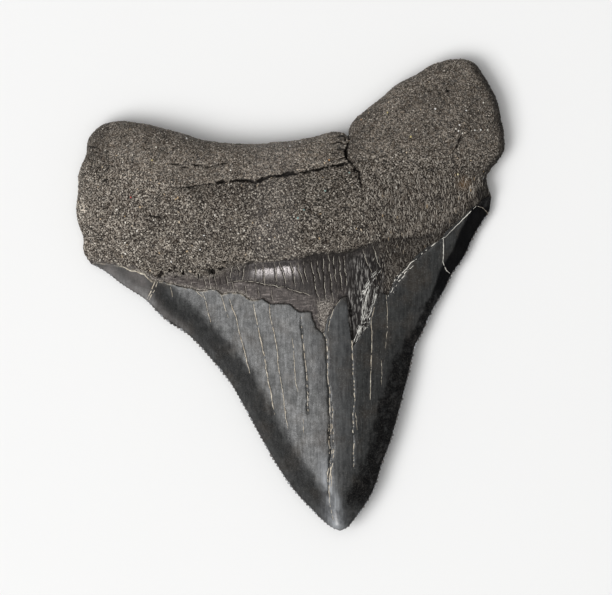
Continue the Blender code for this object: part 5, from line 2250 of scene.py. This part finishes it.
@dataclass
class BoneGrains:
    """The grains that stand out of the root's bone, scattered over its upper side."""

    surface: bpy.types.Object
    gap: float = 0.385 * MM
    width: float = 0.178 * MM
    most: float = 7.5e6
    seed: int = 5
    finish: BoneGrain = field(default_factory=BoneGrain)

    def sizes(self, tree: NodeBuilder, seed: Socket, long: Socket) -> Socket:
        """Draws the grains' sizes, longer along the streaks and finer in the fine bone.

        Args:
            tree: The tree to add to.
            seed: Picks the draw.
            long: How streaky the bone is.

        Returns:
            Each grain's half widths by axis.
        """
        width = tree.size("Width", self.width)
        spread = tree.random(seed, (0.45, 0.60, 0.35), (1.15, 1.90, 1.05))
        narrow, drawn = (tree.math("MULTIPLY_ADD", long, share, 1.0) for share in (-0.35, 0.9))
        stretch = tree.axes(narrow, drawn, 1.0)
        uneven = tree.out("ShaderNodeVectorMath", {0: spread, 1: stretch}, operation="MULTIPLY")
        smaller = tree.math("MULTIPLY_ADD", tree.named("fine"), -0.18, 1.0)
        return tree.scaled(uneven, tree.times(width, smaller))

    def build(self) -> bpy.types.Object:
        """Builds all the grains as one piece.

        Returns:
            The piece.
        """
        base = self.surface.copy()
        base.data = self.surface.data.copy()
        bpy.context.scene.collection.objects.link(base)
        tree = NodeBuilder("bone_grains")
        sizes = (("Gap", self.gap), ("Density", self.most), ("Seed", self.seed))
        gap, most, seed = (tree.size(*size) for size in sizes)
        long = tree.named("long")
        scatter = tree.node("GeometryNodeDistributePointsOnFaces", {
            "Mesh": tree.entry.outputs["Geometry"], "Distance Min": gap, "Density Max": most,
            "Density Factor": tree.named("grains"), "Seed": seed}, distribute_method="POISSON")
        free = tree.times(tree.math("MULTIPLY_ADD", long, -0.8, 1.0), 3.1)
        angle = tree.math("MULTIPLY_ADD", tree.random(31, -0.5, 0.5), free, tree.times(long, 0.14))
        upright = tree.out("FunctionNodeAlignRotationToVector", {
            "Rotation": tree.axes(0.0, 0.0, angle), "Vector": scatter.outputs["Normal"]},
            axis="Z", pivot_axis="AUTO")
        grains = tree.placed(scatter.outputs["Points"], tree.ball(1), Rotation=upright,
                             Scale=self.sizes(tree, seed, long))
        tree.finish(tree.stored(grains, "tint", tree.random(17, 0.0, 1.0)), self.finish.material())
        return tree.applied(base, "bone_grains")


@dataclass
class Glints:
    """The few crystals that catch the light on the root."""

    root: Root
    width: float = 0.20 * MM
    lift: float = 0.08 * MM
    seed: int = 3

    def build(self) -> bpy.types.Object:
        """Builds all the crystals as one piece.

        Returns:
            The piece.
        """
        points = VIEW.plan(GLINTS)
        line = np.column_stack([points, self.root.top(Survey(points)) + self.lift])
        tones = np.array([tone for _, _, tone in GLINTS], float)
        base = polyline_object("glint_spots", [line], {"tone": tones})
        tree = NodeBuilder("glints")
        width, seed = tree.size("Width", self.width), tree.size("Seed", self.seed)
        size = tree.scaled(tree.random(seed, (0.7, 0.7, 0.7), (1.2, 1.2, 1.0)), width)
        crystals = tree.placed(tree.entry.outputs["Geometry"], tree.ball(1), Scale=size)
        tree.finish(crystals, QuartzGrain().material())
        return tree.applied(base, "glints")


@dataclass(frozen=True)
class Strand:
    """A line of mineral: its crack, the surface under it, and how thick, broken and white it is."""

    crack: Crack
    surface: Callable[[Survey], Array]
    share: float
    broken: float
    white: float


@dataclass
class VeinFill:
    """Cream mineral standing in the enamel's cracks, broken into stretches and dots."""

    crown: Crown
    root: Root
    finish: MineralFill = field(default_factory=MineralFill)
    gap: float = 0.16 * MM
    breakup: float = 0.75 * MM
    jitter: float = 0.11 * MM
    seed: int = 11

    def strands(self) -> list[Strand]:
        """Lists the lines that hold mineral.

        Returns:
            The enamel's veins, the bourlette's lines, then the fibres of the notch.
        """
        crown, root = self.crown.top, self.root.top
        veins = [Strand(vein, crown, 0.8, 1.0 if vein.is_open else 0.5,
                        0.6 if vein.seed in WHITE_VEINS else 0.0) for vein in ENAMEL_VEINS]
        lines = [Strand(line, root, 0.42, 0.66, 0.2) for line in BOURLETTE_CRACKS]
        return veins + lines + [Strand(fibre, root, 0.28, 0.66, 0.9) for fibre in spall_fibres()]

    def lines(self) -> bpy.types.Object:
        """Lays the strands out on their surfaces.

        Returns:
            Bare lines, with each point's width, and how broken and how white it is.
        """
        lines, widths, broken, whites = [], [], [], []
        for strand in self.strands():
            crack = strand.crack
            aside = 0.7 * crack.half_width if crack.is_open else 0.0
            points = crack.line.spaced(self.gap).shifted(-aside)
            height = strand.surface(Survey(points)) + 0.25 * min(crack.depth, 0.12 * MM)
            lines.append(np.column_stack([points, height]))
            widest = 0.10 * MM if crack.is_open else 0.15 * MM
            taper = 0.5 + 0.5 * ramp(crack.line.ends(points) / (2 * MM))
            widths.append(strand.share * min(crack.half_width, widest) * taper)
            broken.append(np.full(len(points), strand.broken))
            whites.append(np.full(len(points), strand.white))
        numbers = {"width": widths, "beaded": broken, "whitened": whites}
        joined = {key: np.concatenate(parts) for key, parts in numbers.items()}
        return polyline_object("vein_line", lines, joined)

    def build(self) -> bpy.types.Object:
        """Builds all the veins as one piece.

        Returns:
            The piece.
        """
        base = self.lines()
        tree = NodeBuilder("vein_fill")
        breakup, jitter = tree.size("Breakup", self.breakup), tree.size("Jitter", self.jitter)
        seed = tree.size("Seed", self.seed)
        place = tree.out("GeometryNodeInputPosition")
        cloud = tree.out("ShaderNodeTexNoise", {
            "Vector": place, "W": seed, "Scale": tree.math("DIVIDE", 1.0, breakup), "Detail": 3.0},
            noise_dimensions="4D")
        hollow = tree.minus(tree.math("MULTIPLY_ADD", tree.named("beaded"), 0.27, 0.26), cloud, clamp=True)
        shake = tree.node("ShaderNodeTexNoise", {"Vector": place, "W": seed, "Scale": 3000.0},
                          noise_dimensions="4D").outputs[1]
        centred = tree.out("ShaderNodeVectorMath", {0: shake, 1: (0.5, 0.5, 0.5)}, operation="SUBTRACT")
        fall = tree.axes(0.0, 0.0, tree.times(hollow, -2.5 * MM))
        offset = tree.out("ShaderNodeVectorMath", {0: tree.scaled(centred, jitter), 1: fall})
        start = {"Geometry": tree.entry.outputs["Geometry"], "Offset": offset}
        moved = tree.out("GeometryNodeSetPosition", start)
        swell = tree.math("MULTIPLY_ADD", tree.minus(cloud, 0.3, clamp=True), 4.0, 0.15)
        tube = tree.out("GeometryNodeCurveToMesh", {
            "Curve": tree.out("GeometryNodeMeshToCurve", {0: moved}),
            "Profile Curve": tree.out("GeometryNodeCurvePrimitiveCircle", {"Resolution": 6, "Radius": 1.0}),
            "Scale": tree.times(tree.named("width"), swell), "Fill Caps": True})
        tree.finish(tube, self.finish.material())
        return tree.applied(base, "vein_fill")


@dataclass(frozen=True)
class Softbox:
    """A square light that faces the tooth."""

    name: str
    azimuth: float
    elevation: float
    distance: float
    size: float
    radiance: float

    def build(self) -> None:
        """Adds the light to the scene."""
        data = bpy.data.lights.new(self.name, "AREA")
        data.shape = "SQUARE"
        data.size = self.size
        data.energy = self.radiance * math.pi * self.size**2
        azimuth, elevation = math.radians(self.azimuth), math.radians(self.elevation)
        along, up = self.distance * math.cos(elevation), self.distance * math.sin(elevation)
        lamp = bpy.data.objects.new(self.name, data)
        lamp.location = (along * math.cos(azimuth), along * math.sin(azimuth), up)
        lamp.rotation_euler = lamp.location.to_track_quat("Z", "Y").to_euler()
        bpy.context.scene.collection.objects.link(lamp)


@dataclass
class Studio:
    """The camera, the floor and the soft light."""

    camera_height: float = 1.2
    lamps: tuple[Softbox, ...] = (
        Softbox("key", azimuth=208.0, elevation=56.0, distance=2.4, size=1.3, radiance=6.7),
        Softbox("overhead", azimuth=200.0, elevation=74.0, distance=2.2, size=2.6, radiance=1.3),
    )
    fill: float = 0.25

    def camera(self) -> None:
        """Looks straight down, framed as the photograph is."""
        width, height = VIEW.frame_size
        middle = VIEW.plan([(width / 2, height / 2)])[0]
        data = bpy.data.cameras.new("camera")
        data.sensor_width = 36.0
        data.lens = data.sensor_width * (self.camera_height - 3 * MM) / (width * VIEW.pixel)
        data.clip_end = 50.0
        eye = bpy.data.objects.new("camera", data)
        eye.location = (middle[0], middle[1], self.camera_height)
        bpy.context.scene.collection.objects.link(eye)
        bpy.context.scene.camera = eye

    def lights(self) -> None:
        """A softbox at the lower left, a wide one overhead, and a dim even fill."""
        for lamp in self.lamps:
            lamp.build()
        world = bpy.data.worlds.new("fill")
        world.use_nodes = True
        background = world.node_tree.nodes["Background"]
        background.inputs["Color"].default_value = (1.0, 1.0, 1.0, 1.0)
        background.inputs["Strength"].default_value = self.fill
        bpy.context.scene.world = world
        bpy.context.scene.view_settings.view_transform = "Standard"

    def floor(self) -> bpy.types.Object:
        """Lays a wide pale floor just under the tooth.

        Returns:
            The floor's object.
        """
        half = 3.0
        mesh = bpy.data.meshes.new("floor")
        corners = [(-half, -half, 0), (half, -half, 0), (half, half, 0), (-half, half, 0)]
        mesh.from_pydata(corners, [], [(0, 1, 2, 3)])
        mesh.materials.append(PaleFloor().material())
        floor = bpy.data.objects.new("floor", mesh)
        bpy.context.scene.collection.objects.link(floor)
        return floor


def dress(piece: bpy.types.Object, slot: Slot) -> None:
    """Links a finished piece, attaches it to the root's body and hides the CAD tooth.

    Args:
        piece: The piece.
        slot: Its material slot in the record; not used.
    """
    if piece.name not in bpy.context.scene.collection.objects:
        bpy.context.scene.collection.objects.link(piece)
    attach(piece, "root")
    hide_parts("tooth")
    LOG.info("%s: %d vertices, %d faces", piece.name, len(piece.data.vertices), len(piece.data.polygons))


def main() -> None:
    """Builds the tooth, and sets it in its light."""
    logging.basicConfig(level=logging.INFO, format="%(name)s %(message)s")
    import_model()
    cad_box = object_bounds()
    studio = Studio()
    studio.camera()
    studio.lights()
    studio.floor()
    crown = Crown()
    crown_piece = crown.build(cad_box)
    dress(crown_piece, Slot.ENAMEL)
    root = Root()
    bone = root.build(cad_box)
    dress(bone, Slot.ROOT)
    dress(BoneGrains(bone).build(), Slot.ROOT)
    dress(Glints(root).build(), Slot.ROOT)
    dress(SerrationRow().build(crown_piece.data.materials[0]), Slot.ENAMEL)
    dress(VeinFill(crown, root).build(), Slot.MINERAL)


if __name__ == "__main__":
    main()
